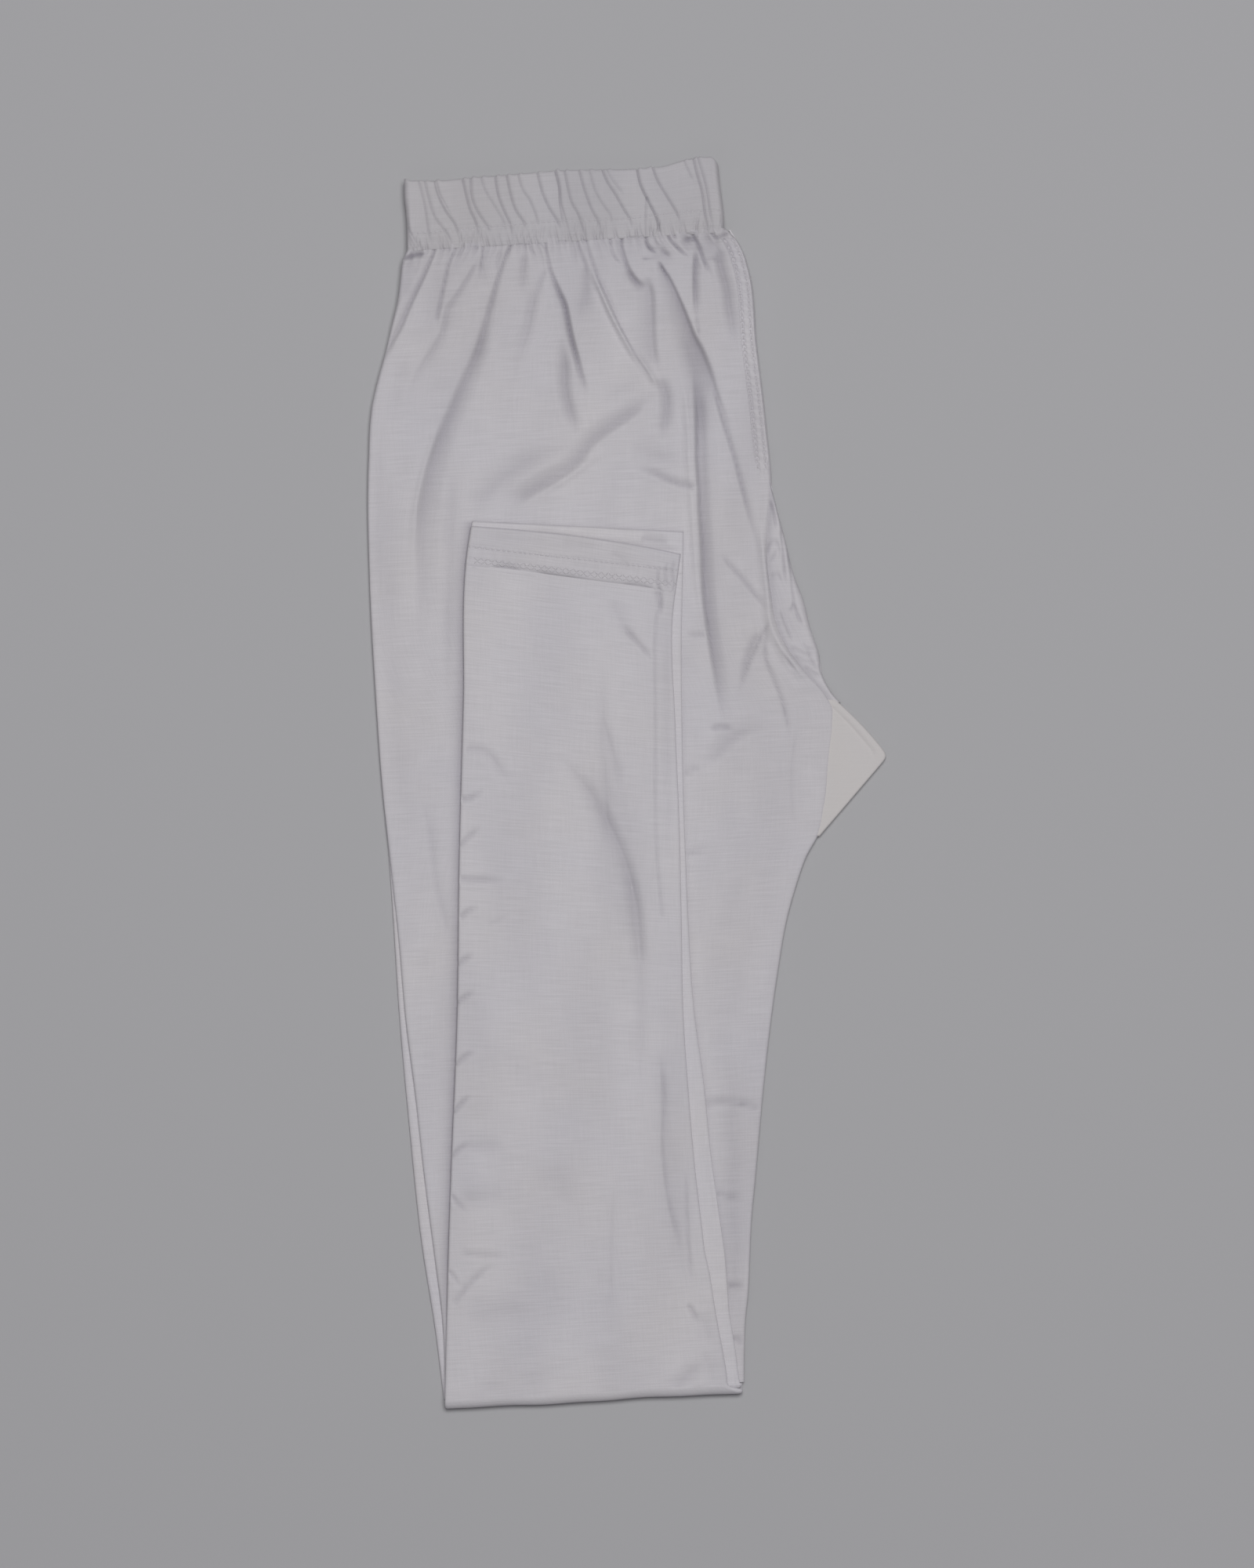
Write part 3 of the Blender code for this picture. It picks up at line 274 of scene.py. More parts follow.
def crease_relief(x, y, table, shade=False):
    """Sum of creases. Across each one: a bell, a sharper cut in its middle and a low shoulder on
    both sides, times its depth and its fades. The cut is 0.4 to 1 mm wide and has the larger share
    of a narrow crease, whose depth is less. Below the waist a crease is the wider the more it runs
    across the leg. With a lean above 0 the slope on the right of a downward path is the longer
    one. With shade it gives instead the painted shade of the troughs, the light they keep out:
    0.85 of the bell and up to 2.4 times the cut, times the depth over the fold depth."""
    relief = np.zeros_like(x)
    for row in table:
        crease = dict(zip(CREASE, row))
        path = smooth_path(crease["path"], CREASE_STEPS)
        reach = 4.5 * crease["width"] * max(crease["widens"], 1) * (1 + abs(crease["lean"]))
        near = ((x > path[:, 0].min() - reach) & (x < path[:, 0].max() + reach)
                & (y > path[:, 1].min() - reach) & (y < path[:, 1].max() + reach))
        px, py = x[near], y[near]
        away = np.full(px.shape, np.inf)
        along = np.zeros_like(px)
        side = np.ones_like(px)
        level = np.zeros_like(px)
        for k in range(len(path) - 1):
            run = path[k + 1] - path[k]
            t = ((px - path[k, 0]) * run[0] + (py - path[k, 1]) * run[1]) / (run @ run)
            t = np.clip(t, 0, 1)
            off_x = px - path[k, 0] - t * run[0]
            off_y = py - path[k, 1] - t * run[1]
            distance = np.hypot(off_x, off_y)
            closer = distance < away
            away = np.where(closer, distance, away)
            along = np.where(closer, (k + t) / (len(path) - 1), along)
            side = np.where(closer, np.sign(run[0] * off_y - run[1] * off_x), side)
            level = np.where(closer, np.abs(run[0]) / np.hypot(*run), level)
        coarse = level * np.clip((250 - py) / 60, 0, 1)
        width = crease["width"] * (1 + (crease["widens"] - 1) * along)
        width = np.maximum(width, 0.6 + 0.9 * coarse)
        q = away / (width * (1 + crease["lean"] * side))
        fade = ease(along / crease["sets_in"]) * ease((1 - along) / crease["dies"])
        cut = np.clip(1.2 / width - 0.25, 0, 0.6)
        cut_width = np.clip(width / 2, 0.38 + 0.45 * coarse, 1.0)
        bell = (1 - cut) * np.exp(-q ** 1.5)
        core = cut * np.exp(-(away / cut_width) ** 1.3)
        if shade:
            kept_out = 0.85 * bell + 2.4 * np.clip(1.2 / width, 0.4, 1) * core
            relief[near] += max(crease["depth"], 0) / FOLD_DEPTH * fade * kept_out
        else:
            shallow = np.clip(width / 1.2, 0.55, 1)
            shoulder = 0.16 * np.exp(-((q - 2) / 0.8) ** 2)
            relief[near] -= crease["depth"] * shallow * fade * (bell + core - shoulder)
    return relief


def below_waist(x, y):
    """Distance down the leg from the waist seam, which slopes across the leg."""
    return WAIST_SEAM[0] + (x - UPPER_LEFT[1][1]) * THIGH_TILT - y


def waist_gathers(x, y):
    """Narrow troughs across the waist seam, in the leg and in the foot of the casing alike. Below
    the seam they open and fade, above it they fade within a few millimetres. Between them run
    finer puckers of uneven place, length and depth. The seam itself is a faint groove that gapes
    here and there."""
    down = below_waist(x, y)
    below, above = np.clip(down, 0, 60), np.clip(-down, 0, 60)
    open_seam = 0.08 + sum(0.7 * np.exp(-((x - place) / size) ** 4) for place, size in SEAM_GAPS)
    relief = -open_seam * np.exp(-((down - 0.1) / 0.6) ** 2)
    for row in GATHERS:
        gather = dict(zip(GATHER, row))
        away = x - gather["x"] - gather["drift"] * below + 0.25 * above
        fade = np.exp(-(below / gather["length"]) ** 2 - (above / 5.0) ** 2)
        relief -= gather["depth"] * fade * np.exp(-(np.abs(away) / (0.7 + 0.07 * below)) ** 1.6)
    random = np.random.default_rng(12)
    for pucker in range(PUCKERS):
        centre, lean = random.uniform(-104, 47), random.uniform(-0.35, 0.25)
        length, rise = random.uniform(1, 4.5), random.uniform(2.5, 9.5)
        depth = random.uniform(0.1, 0.5) ** 1.2
        fade = np.exp(-(below / length) ** 2) * ease((rise + 2 - above) / 3)
        relief -= depth * fade * np.exp(-(np.abs(x - centre - lean * down) / 0.38) ** 1.5)
    return relief


# Sine waves that make up one swell
WAVES = 7


def flutter(x, y, size, seed):
    """Low uneven swell of relaxed cloth: sine waves of unlike length and direction, added up."""
    random = np.random.default_rng(seed)
    swell = np.zeros_like(x)
    for wave in range(WAVES):
        length = random.uniform(14, 60)
        angle = random.uniform(-0.5, 0.5)
        run = x * np.cos(angle) + y * np.sin(angle)
        swell += np.sin(2 * np.pi * run / length + random.uniform(0, 6.28)) * length / 60
    return size * swell / 3


def painted_shade_patches(x, y, seed):
    """Faint wide patches of painted shade, as on cloth that lies a little uneven: 0 to 0.1."""
    return np.clip(0.05 - flutter(x, y, 0.07, seed), 0, 0.1)


def end_line(x, hem):
    """Where a leg ends at x: straight from the left of its end line to the right."""
    return hem[0] + (x - HEM_LEFT) / HEM_WIDTH * (hem[1] - hem[0])


def covered(x, y):
    """1 where the calves lie on the thigh, 0 beside them, soft across the edge."""
    from_left = ease((x - through(CALF_LEFT, y)) / 4)
    from_right = ease((through(SECOND_RIGHT, y) - x) / 4)
    return from_left * from_right * ease((end_line(x, UPPER_HEM) - y) / 4)


def thigh_relief(x, y):
    """Creases, gathers and swell of the thigh, nearly flat below the calves."""
    relief = crease_relief(x, y, THIGH_CREASES) + waist_gathers(x, y) + flutter(x, y, 0.3, 3)
    return relief * (1 - 0.9 * covered(x, y)) * ease((y + 292) / 30)


def thigh_top(x, y):
    """Upper face of the folded thigh: its height along the leg and its relief. The deeper a crease,
    the more it is held back, so that it stays above the layers below."""
    base = through(THIGH_HEIGHT, y - THIGH_TILT * (x - UPPER_LEFT[1][1]))
    relief = thigh_relief(x, y)
    room = base - LOWEST
    return base + np.where(relief < 0, room * np.expm1(relief / room * 1.15) / 1.15, relief)


def middle_height(y):
    """Height of the touch between the two legs."""
    return through(THIGH_HEIGHT, y) / 2


def moved(line, distance):
    """A line across the leg, given by its left and right y, moved up by the distance."""
    return line[0] + distance, line[1] + distance


def rows_between(start, end, share):
    """Row stations at the left and right edge, at the given shares of the way between lines."""
    return start[0] + share * (end[0] - start[0]), start[1] + share * (end[1] - start[1])


def rolled_plan(left_x, right_x, left_y, right_y, flats, roll, strip, wrap):
    """Plan of a sheet whose side edges roll under, rows by columns. Across: a strip that runs back
    under the cloth, a quarter or half turn of an ellipse, the open face, and the same at the other
    side. Wrap is 1 for a whole fold and 0 for an edge that only turns down. Returns x, y and the
    share of the thickness that each column lies below the open face."""
    turn = np.linspace(0, 1, 10)
    strip_way = np.linspace(1, 0.15, 7)
    width = (right_x - left_x)[:, None]
    sides = []
    for k in range(2):
        whole = np.clip(wrap[k], 0.04, 1)[:, None] * np.ones((len(left_x), 1))
        angle = -np.pi / 2 * whole + turn * np.pi / 2 * (1 + whole)
        inset = roll[k] * (1 - np.cos(angle))
        drop = (1 - whole / 2) * (1 - np.sin(angle))
        back = inset[:, :1] + strip[k] * whole * strip_way
        under = np.repeat(drop[:, :1], len(strip_way), axis=1)
        sides.append((np.hstack([back, inset]), np.hstack([under, drop])))
    open_face = roll[0] + np.linspace(0, 1, flats)[1:-1] * (width - sum(roll))
    from_left = np.hstack([sides[0][0], open_face, width - sides[1][0][:, ::-1]])
    drop = np.hstack([sides[0][1], np.zeros_like(open_face), sides[1][1][:, ::-1]])
    share = from_left / width
    x = left_x[:, None] + from_left
    return x, left_y[:, None] * (1 - share) + right_y[:, None] * share, drop


def weave_map(points):
    """Length across and along the cloth at each grid point, in metres, for the weave pattern."""
    steps_across = np.diff(points, axis=1, prepend=points[:, :1])
    steps_along = np.diff(points, axis=0, prepend=points[:1])
    across = np.cumsum(np.linalg.norm(steps_across, axis=2), axis=1)
    along = np.cumsum(np.linalg.norm(steps_along, axis=2).mean(axis=1))
    columns = points.shape[1]
    middle = across[:, columns // 2][:, None]
    return np.stack([across - middle, np.repeat(along[:, None], columns, axis=1)], axis=2) * MM


def painted_shade_of(relief):
    """Painted shade by depth in a fold: 0 at the open face, 1 at the fold depth."""
    return np.clip(-relief / FOLD_DEPTH, 0, 1)


def cloth_mesh(name, points, material, welded=False, painted_shade=None):
    """A grid of points (rows, columns, xyz in millimetres) as quads, with the weave map as its UVs
    and the painted shade of its folds, which the material turns into colour, as a point attribute."""
    rows, columns = points.shape[:2]
    index = np.arange(rows * columns, dtype=np.int32).reshape(rows, columns)
    corners = (index[:-1, :-1], index[1:, :-1], index[1:, 1:], index[:-1, 1:])
    quads = np.stack(corners, axis=-1).reshape(-1, 4)
    mesh = bpy.data.meshes.new(name)
    mesh.vertices.add(rows * columns)
    mesh.vertices.foreach_set("co", (points * MM).astype(np.float32).ravel())
    mesh.loops.add(quads.size)
    mesh.loops.foreach_set("vertex_index", quads.ravel())
    mesh.polygons.add(len(quads))
    mesh.polygons.foreach_set("loop_start", np.arange(0, quads.size, 4, dtype=np.int32))
    mesh.update(calc_edges=True)
    mesh.validate()
    layer = mesh.uv_layers.new(name="weave")
    weave = weave_map(points).reshape(-1, 2)[quads.ravel()]
    layer.data.foreach_set("uv", weave.astype(np.float32).ravel())
    depth = mesh.attributes.new("painted_shade", "FLOAT", "POINT")
    values = np.zeros((rows, columns)) if painted_shade is None else painted_shade
    depth.data.foreach_set("value", values.astype(np.float32).ravel())
    mesh.shade_smooth()
    mesh.materials.append(material)
    if welded:
        solid = bmesh.new()
        solid.from_mesh(mesh)
        bmesh.ops.remove_doubles(solid, verts=solid.verts, dist=1e-6)
        solid.to_mesh(mesh)
        solid.free()
    piece = bpy.data.objects.new(name, mesh)
    bpy.context.scene.collection.objects.link(piece)
    return piece


def woven_cotton(name, colour, slub, bump):
    """Plain weave: a fine grid of threads with thicker weft threads here and there. The colour
    drifts a little between a cool and a warm white, each slub is a touch lighter, and painted shade
    from the mesh makes the cloth darker and cooler deep in its folds, where it shadows itself."""
    material = bpy.data.materials.new(name)
    material.use_nodes = True
    nodes, links = material.node_tree.nodes, material.node_tree.links
    shader = nodes["Principled BSDF"]
    shader.inputs["Roughness"].default_value = 0.82
    shader.inputs["Sheen Weight"].default_value = 0.12
    shader.inputs["Sheen Roughness"].default_value = 0.45
    shader.inputs["Specular IOR Level"].default_value = 0.35
    weave = nodes.new("ShaderNodeUVMap")
    weave.uv_map = "weave"

    def noise(scale, detail):
        stretch = nodes.new("ShaderNodeVectorMath")
        stretch.operation = "MULTIPLY"
        stretch.inputs[1].default_value = scale
        links.new(weave.outputs["UV"], stretch.inputs[0])
        texture = nodes.new("ShaderNodeTexNoise")
        texture.inputs["Scale"].default_value = 1.0
        texture.inputs["Detail"].default_value = detail
        links.new(stretch.outputs[0], texture.inputs["Vector"])
        return texture.outputs["Fac"]

    def combine(operation, first, second):
        node = nodes.new("ShaderNodeMath")
        node.operation = operation
        for socket, value in zip(node.inputs, (first, second)):
            if isinstance(value, float):
                socket.default_value = value
            else:
                links.new(value, socket)
        return node.outputs[0]

    def thread(axis, pitch):
        """Sine of the length along one axis over the thread pitch."""
        parts = nodes.new("ShaderNodeSeparateXYZ")
        links.new(weave.outputs["UV"], parts.inputs[0])
        return combine("SINE", combine("MULTIPLY", parts.outputs[axis], 2 * np.pi / pitch), 0.0)

    weft = noise((55.0, 1500.0, 1.0), 1.5)
    warp = noise((1300.0, 70.0, 1.0), 1.0)
    cloud = noise((16.0, 16.0, 1.0), 2.0)
    grid = combine("MULTIPLY", thread("X", 0.0007), thread("Y", 0.00075))
    ramp = nodes.new("ShaderNodeValToRGB")
    ramp.color_ramp.elements[0].position = 0.25
    ramp.color_ramp.elements[1].position = 0.78
    cool, warm = np.array((0.99, 0.987, 1.012)), np.array((1.013, 1.0, 0.992))
    shade = combine("ADD", combine("MULTIPLY", weft, slub), combine("MULTIPLY", warp, slub * 0.4))
    ramp.color_ramp.elements[0].color = (*(np.array(colour) * cool), 1)
    ramp.color_ramp.elements[1].color = (*(np.array(colour) * warm), 1)
    links.new(cloud, ramp.inputs["Fac"])
    lighten = nodes.new("ShaderNodeVectorMath")
    lighten.operation = "SCALE"
    links.new(ramp.outputs["Color"], lighten.inputs[0])
    links.new(combine("ADD", shade, 1.0 - 0.7 * slub), lighten.inputs["Scale"])
    # Painted shade: the mesh's fold-shade attribute darkens and cools the colour, down to the
    # ramp's grey-violet
    fold = nodes.new("ShaderNodeAttribute")
    fold.attribute_name = "painted_shade"
    painted_shade_tint = nodes.new("ShaderNodeValToRGB")
    painted_shade_tint.color_ramp.elements[0].color = (1, 1, 1, 1)
    painted_shade_tint.color_ramp.elements[1].color = (0.46, 0.45, 0.49, 1)
    links.new(fold.outputs["Fac"], painted_shade_tint.inputs["Fac"])
    darken = nodes.new("ShaderNodeVectorMath")
    darken.operation = "MULTIPLY"
    links.new(lighten.outputs[0], darken.inputs[0])
    links.new(painted_shade_tint.outputs["Color"], darken.inputs[1])
    links.new(darken.outputs[0], shader.inputs["Base Color"])
    relief = nodes.new("ShaderNodeBump")
    relief.inputs["Strength"].default_value = bump
    relief.inputs["Distance"].default_value = 0.0002
    thick_threads = combine("MULTIPLY", weft, 1.6)
    fine_threads = combine("ADD", warp, combine("MULTIPLY", grid, 0.35))
    links.new(combine("ADD", thick_threads, fine_threads), relief.inputs["Height"])
    links.new(relief.outputs["Normal"], shader.inputs["Normal"])
    return material


def painted_calf_shadow(x, y):
    """Painted shadow in the corner where the thigh meets the calves on it: 1.4 at their left side,
    where they stand highest, fading over 3 mm, and much less on the right and at their end, fading
    over a little more than 1 mm."""
    hem = end_line(x, UPPER_HEM)
    beside = ease((hem + 1 - y) / 3) * ease((y + 285) / 60)
    left = 1.4 * np.exp(-(np.abs(x - through(CALF_LEFT, y)) / 2.9) ** 1.3) * beside
    low_step = 0.4 - 0.25 * ease((y - 20) / 60)
    right = low_step * np.exp(-(np.abs(x - through(SECOND_RIGHT, y)) / 1.3) ** 1.4) * beside
    end = 0.35 * np.exp(-(np.abs(y - hem) / 1.2) ** 1.4) * ease((x + 75) / 2) * ease((28 - x) / 2)
    return np.maximum(np.maximum(left, right), end)


def thigh_painted_shade(x, y):
    """Painted shade of the thigh, how dark each place is: from its creases and gathers, a soft
    shade below the waist, faint patches of shade, a little more towards the right edge, and the
    painted shadow beside the calves."""
    from_waist = np.clip(below_waist(x, y), 0, None)
    dark = crease_relief(x, y, THIGH_CREASES, shade=True) + painted_shade_of(1.3 * waist_gathers(x, y))
    dark = dark + 0.15 * np.exp(-(from_waist / 55) ** 2) + painted_shade_patches(x, y, 17)
    dark = dark + 0.08 * ease((x - 36) / 16) * ease((230 - y) / 60)
    return dark * (1 - 0.9 * covered(x, y)) + 0.45 * painted_calf_shadow(x, y)


COTTON_WHITE = (0.730, 0.715, 0.733)
leg_cotton = woven_cotton("leg_cotton", COTTON_WHITE, slub=0.2, bump=0.4)

# Rows lie 0.5 mm apart at the waist seam, 1 to 1.2 mm as far as the crotch and 2.1 mm below it.
# The right edge only turns down at the seam of the hip, and is a fold from the crotch down.
rows, columns, strips = 376, 226, (6, 6)
way = np.interp(np.arange(rows), (0, 16, 78, 230, rows - 1), (0, 0.015, 0.127, 0.444, 1))
left_y, right_y = rows_between(moved(WAIST_SEAM, 2.5), moved(KNEE, 0.5), way)
closed_right = ease((128 - right_y) / 12)
x, y, drop = rolled_plan(
    through(UPPER_LEFT, left_y), through(UPPER_RIGHT, right_y), left_y, right_y,
    columns, (EDGE_ROUND, EDGE_ROUND), strips, (np.ones(rows), closed_right))
top = thigh_top(x, y)
thick = top - middle_height(y) - LEG_GAP
upper_leg = cloth_mesh(
    "upper_leg_cloth", np.stack([x, y, top - thick * drop], axis=2), leg_cotton,
    painted_shade=thigh_painted_shade(x, y) * (1 - drop).clip(0))
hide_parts("upper_leg_panel")
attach(upper_leg, "root")


# The leg that lies underneath, one layer of the same cotton: its floor side, the turn round the
# knee fold, and its calf, which comes back on top of everything as far as its hem. Its own side
# folds roll inwards, so from the side it is a flat tube.

LOWER_LEFT = (
    (256, -104), (251, -105.6), (243, -107.2), (230.5, -108.8), (208.4, -114), (190, -119),
    (182, -120.9), (154, -122.8), (98, -122.4), (41, -119.6), (-6, -116), (-62, -112), (-109, -109),
    (-165, -104), (-221, -98), (-259, -92), (-299, -87))
LOWER_RIGHT = (
    (265, 49), (255, 55), (246, 58), (210, 62), (172, 66.5), (135, 70.5), (116, 75.5), (100, 79.5),
    (88, 84), (76, 87), (60, 92), (50, 94), (41, 97), (10, 96), (-10, 94), (-24, 91), (-34, 86),
    (-62, 77), (-90, 72), (-128, 67), (-165, 63), (-208, 59.2), (-259, 56), (-289, 55))
CALF_RIGHT = (
    (112, 26), (98, 24), (82, 22), (30, 23), (-19, 25), (-64, 26), (-112, 27), (-142, 29),
    (-188, 33), (-208, 35.4), (-224, 37.4), (-233, 39.4), (-245, 41.2), (-257, 43.2), (-270, 45.7),
    (-280, 47.4), (-292, 48.4))
LOWER_HEM = (123, 109.8)
HEM_DEPTH = 18.5
TUBE = 2.3
CALF_STACK = 4.6
CALF_CREASES = (
    (2.8, 1.0, 1.3, -0.2, 0.35, 0.15, ((-38, 15.5), (-31.7, 11.8), (-24, 3.4), (-17.7, -4.4),
        (-10.8, -15.4), (-4.2, -28.1), (1, -43.1), (4.6, -58.1), (5.7, -69.6), (6.4, -81.2),
        (6.8, -88))),
    (5.6, 1.0, 0.7, 0.0, 0.3, 0.3, ((-30, 14), (-14, -6), (-4, -30), (2, -54), (5, -80))),
    (2.2, 1.0, 0.9, 0.0, 0.3, 0.4, ((-13, 36), (-8, 18), (-4.8, 6), (-3.2, -6))),
    (0.8, 1.2, 0.8, 0.35, 0.05, 0.1, ((15.2, 96), (15.8, 84), (13.6, 78), (13, 60), (13.4, 40),
        (13.5, -20), (16, -56), (17, -66))),
    (1.6, 1.0, 1.2, 0.0, 0.3, 0.3, ((13, 93), (15.4, 88), (16, 81))),
    (1.0, 1.0, 1.26, 0.2, 0.25, 0.25, ((-3, 76), (2.4, 70), (7, 65), (12.4, 58.6))),
    (3.3, 1.0, 0.7, 0.0, 0.25, 0.3, ((-10, 90), (-2, 76), (5, 66))),
    (1.1, 1.0, 1.0, 0.3, 0.15, 0.3, ((15.5, -126), (17.6, -148), (17.2, -174), (20, -198),
        (23.6, -214), (25.6, -226))),
    (4.4, 1.0, 0.6, 0.0, 0.2, 0.3, ((17, -120), (19, -165), (24, -215), (27, -245))),
    (1.1, 1.0, 0.8, 0.0, 0.2, 0.3, ((28, -182), (28.4, -206), (29.6, -226), (31, -242))),
    (1.9, 1.2, 1.1, 0.0, 0.05, 0.5, ((-77, 16.4), (-67, 14.6), (-60.4, 6.4), (-54.4, -3.6))),
    (1.1, 1.0, 1.5, 0.0, 0.05, 0.5, ((-79, -7.6), (-74.5, -6.8), (-67, -2.2))),
    (1.1, 1.0, 1.3, 0.0, 0.05, 0.5, ((-80, -29.6), (-75, -25), (-69.6, -20))),
    (0.9, 1.0, 1.5, 0.0, 0.05, 0.5, ((-80, -45.6), (-70, -46), (-56, -46.2))),
    (1.2, 1.0, 1.4, 0.0, 0.05, 0.5, ((-80, -64), (-76, -61), (-70, -58))),
    (1.3, 1.0, 0.5, 0.0, 0.3, 0.4, ((-68, -67.6), (-62, -65.6), (-55.6, -62.6))),
    (1.2, 1.0, 1.4, 0.0, 0.05, 0.5, ((-81, -86), (-77, -83.6), (-72, -80.4))),
    (1.2, 1.0, 1.4, 0.0, 0.05, 0.5, ((-82, -105), (-77, -101.6), (-72, -98.6))),
    (1.2, 1.0, 1.4, 0.0, 0.05, 0.5, ((-82, -134), (-77, -130), (-71.6, -127.4))),
    (1.2, 1.0, 1.4, 0.0, 0.05, 0.5, ((-83, -157), (-78.4, -152), (-74, -148))),
    (1.2, 1.0, 1.3, 0.0, 0.05, 0.5, ((-84, -178), (-79.4, -174), (-74, -171.4))),
    (1.1, 1.0, 1.1, 0.0, 0.05, 0.5, ((-84, -196), (-80, -200.6), (-75.4, -205))),
    (1.3, 1.0, 1.2, 0.3, 0.08, 0.4, ((-83, -249), (-79, -243.4), (-74, -237.6), (-68, -232),
        (-62, -228.4))),
    (1.1, 1.0, 0.9, 0.0, 0.05, 0.5, ((-85, -232), (-82, -236), (-78.6, -240.4))),
    (0.9, 1.0, 0.8, 0.0, 0.2, 0.4, ((-80, -224), (-68, -225), (-55, -225.2))),
    (3.5, 1.0, 0.8, 0.0, 0.3, 0.4, ((-80, -173), (-68, -173.5), (-56, -173))),
    (5.0, 1.0, 0.9, 0.0, 0.3, 0.4, ((-83, -197), (-70, -198), (-52, -194))),
    (6.0, 1.0, 0.9, 0.0, 0.3, 0.4, ((-80, -256), (-62, -252), (-38, -251))),
    (6.1, 1.0, 0.4, 0.0, 0.3, 0.3, ((-8, -186), (-7, -215), (-8, -264))),
    (0.9, 1.0, 0.4, 0.0, 0.3, 0.3, ((-6.6, -190), (-7.6, -222), (-7.8, -260))),
    (9.0, 1.0, 0.5, 0.0, 0.3, 0.3, ((-68, -122), (-54, -134), (-40, -150))),
    (8.0, 1.0, 0.6, 0.0, 0.3, 0.3, ((-46, -192), (-34, -190), (-27, -206))),
    (7.0, 1.0, 0.6, 0.0, 0.3, 0.3, ((-42, -230), (-34, -246), (-32, -262))),
    (1.4, 1.0, 1.2, 0.0, 0.2, 0.4, ((28.6, -247.6), (31.6, -252.6), (34.5, -258.4))),
    (3.3, 1.0, 1.5, 0.0, 0.2, 0.4, ((21, -291), (29, -283), (37, -275))),
    (2.2, 1.0, 0.56, 0.0, 0.3, 0.3, ((20, 90), (19, 30), (20, -50))),
    (2.4, 1.0, 0.7, 0.0, 0.2, 0.3, ((-12, 60), (-11, 10), (-8, -40))),
    (2.6, 1.0, 0.84, 0.0, 0.2, 0.3, ((0, -30), (6, -90), (7, -150))),
    (4.0, 1.0, 0.6, 0.0, 0.3, 0.4, ((34, -250), (37.6, -260), (39, -270))),
    (3.0, 1.0, 0.7, 0.0, 0.3, 0.4, ((36, -268), (39, -280), (42, -292))),
    (3.4, 1.0, 0.7, 0.0, 0.2, 0.4, ((-76, -294), (-67, -290), (-60, -284))),
    (4.4, 1.0, 0.4, 0.0, 0.3, 0.3, ((-50, -288), (-40, -283), (-28, -280))))

# Crumples of the floor side beside the end of the centre seam
CRUMPLES = (
    (1.4, 1.0, 0.9, 0.2, 0.2, 0.3, ((72, 122), (71, 112), (74, 104), (73, 96))),
    (1.2, 1.0, 0.8, 0.0, 0.2, 0.3, ((77, 112), (76, 100), (80, 88), (78, 82))),
    (1.2, 1.0, 0.8, 0.2, 0.2, 0.3, ((80, 92), (82, 82), (86, 74), (88, 62))),
    (1.0, 1.0, 0.7, 0.0, 0.2, 0.3, ((84, 84), (86, 78), (90, 72))),
    (1.0, 1.0, 0.7, 0.0, 0.2, 0.3, ((84, 62), (90, 58), (94, 56))),
    (1.1, 1.0, 0.7, 0.0, 0.2, 0.3, ((88, 54), (91, 48), (96, 42))))


def calf_relief(x, y):
    """Creases and swell of the calf that lies on top."""
    return (crease_relief(x, y, CALF_CREASES) + flutter(x, y, 0.22, 8)) * ease((y + 295) / 16)


def stack_top(y):
    """Height of the thigh and the calf layers on it."""
    return through(THIGH_HEIGHT, y) + CALF_STACK


def calf_top(x, y):
    """Upper face of the calf that lies on top: the height of the stack and its relief."""
    return stack_top(y) + calf_relief(x, y)


def knee_sag(x):
    """The fold's outer line waves a little in and out across the leg."""
    return 0.35 + 0.3 * np.sin(x / 13.0 + 0.8) + 0.15 * np.sin(x / 5.1)


def round_knee(outer_radius, left_x, right_x, angles, flats, roll, strip, thickness):
    """Rows round the knee fold, from the top side to the floor side: circles about the fold's
    axis, each point let in towards the axis by its share of the tube's thickness."""
    left_y = np.full(len(angles), KNEE[0])
    right_y = np.full(len(angles), KNEE[1])
    closed = np.ones(len(angles))
    x, y, drop = rolled_plan(
        left_x, right_x, left_y, right_y, flats, roll, strip, (closed, closed))
    turn = np.radians(angles)[:, None]
    radius = outer_radius - thickness * drop - knee_sag(x) * np.sin(turn)
    return np.stack([x, y - radius * np.sin(turn), KNEE_RADIUS + radius * np.cos(turn)], axis=2)


# The calf starts 0.6 mm inside its hem, and its side folds roll under
calf_rows, columns, floor_rows = 352, 160, 110
calf_roll, calf_strips, floor_strips = (1.4, 2.3), (5, 5), (10, 20)
hem_foot = moved(moved(LOWER_HEM, -HEM_DEPTH), 0.6)
left_y, right_y = rows_between(hem_foot, KNEE, np.linspace(0, 1, calf_rows))
closed = np.ones(calf_rows)
x, y, drop = rolled_plan(
    through(CALF_LEFT, left_y), through(CALF_RIGHT, right_y), left_y, right_y,
    columns, calf_roll, calf_strips, (closed, closed))
calf = np.stack([x, y, calf_top(x, y) - TUBE * drop], axis=2)
# Painted shade of the calf's creases and faint patches of shade, on its open face
calf_painted_shade = (crease_relief(x, y, CALF_CREASES, shade=True) + painted_shade_patches(x, y, 9)) * (1 - drop).clip(0)

# Round the knee the leg widens on its right, from the calf's edge to the thigh's
angles = np.linspace(6, 174, 29)
knee_left = np.full(len(angles), -86.9)
knee_right = 48.4 + 6.8 * ease((angles - 8) / 58)
knee = round_knee(
    KNEE_RADIUS, knee_left, knee_right, angles, columns, calf_roll, calf_strips, TUBE)

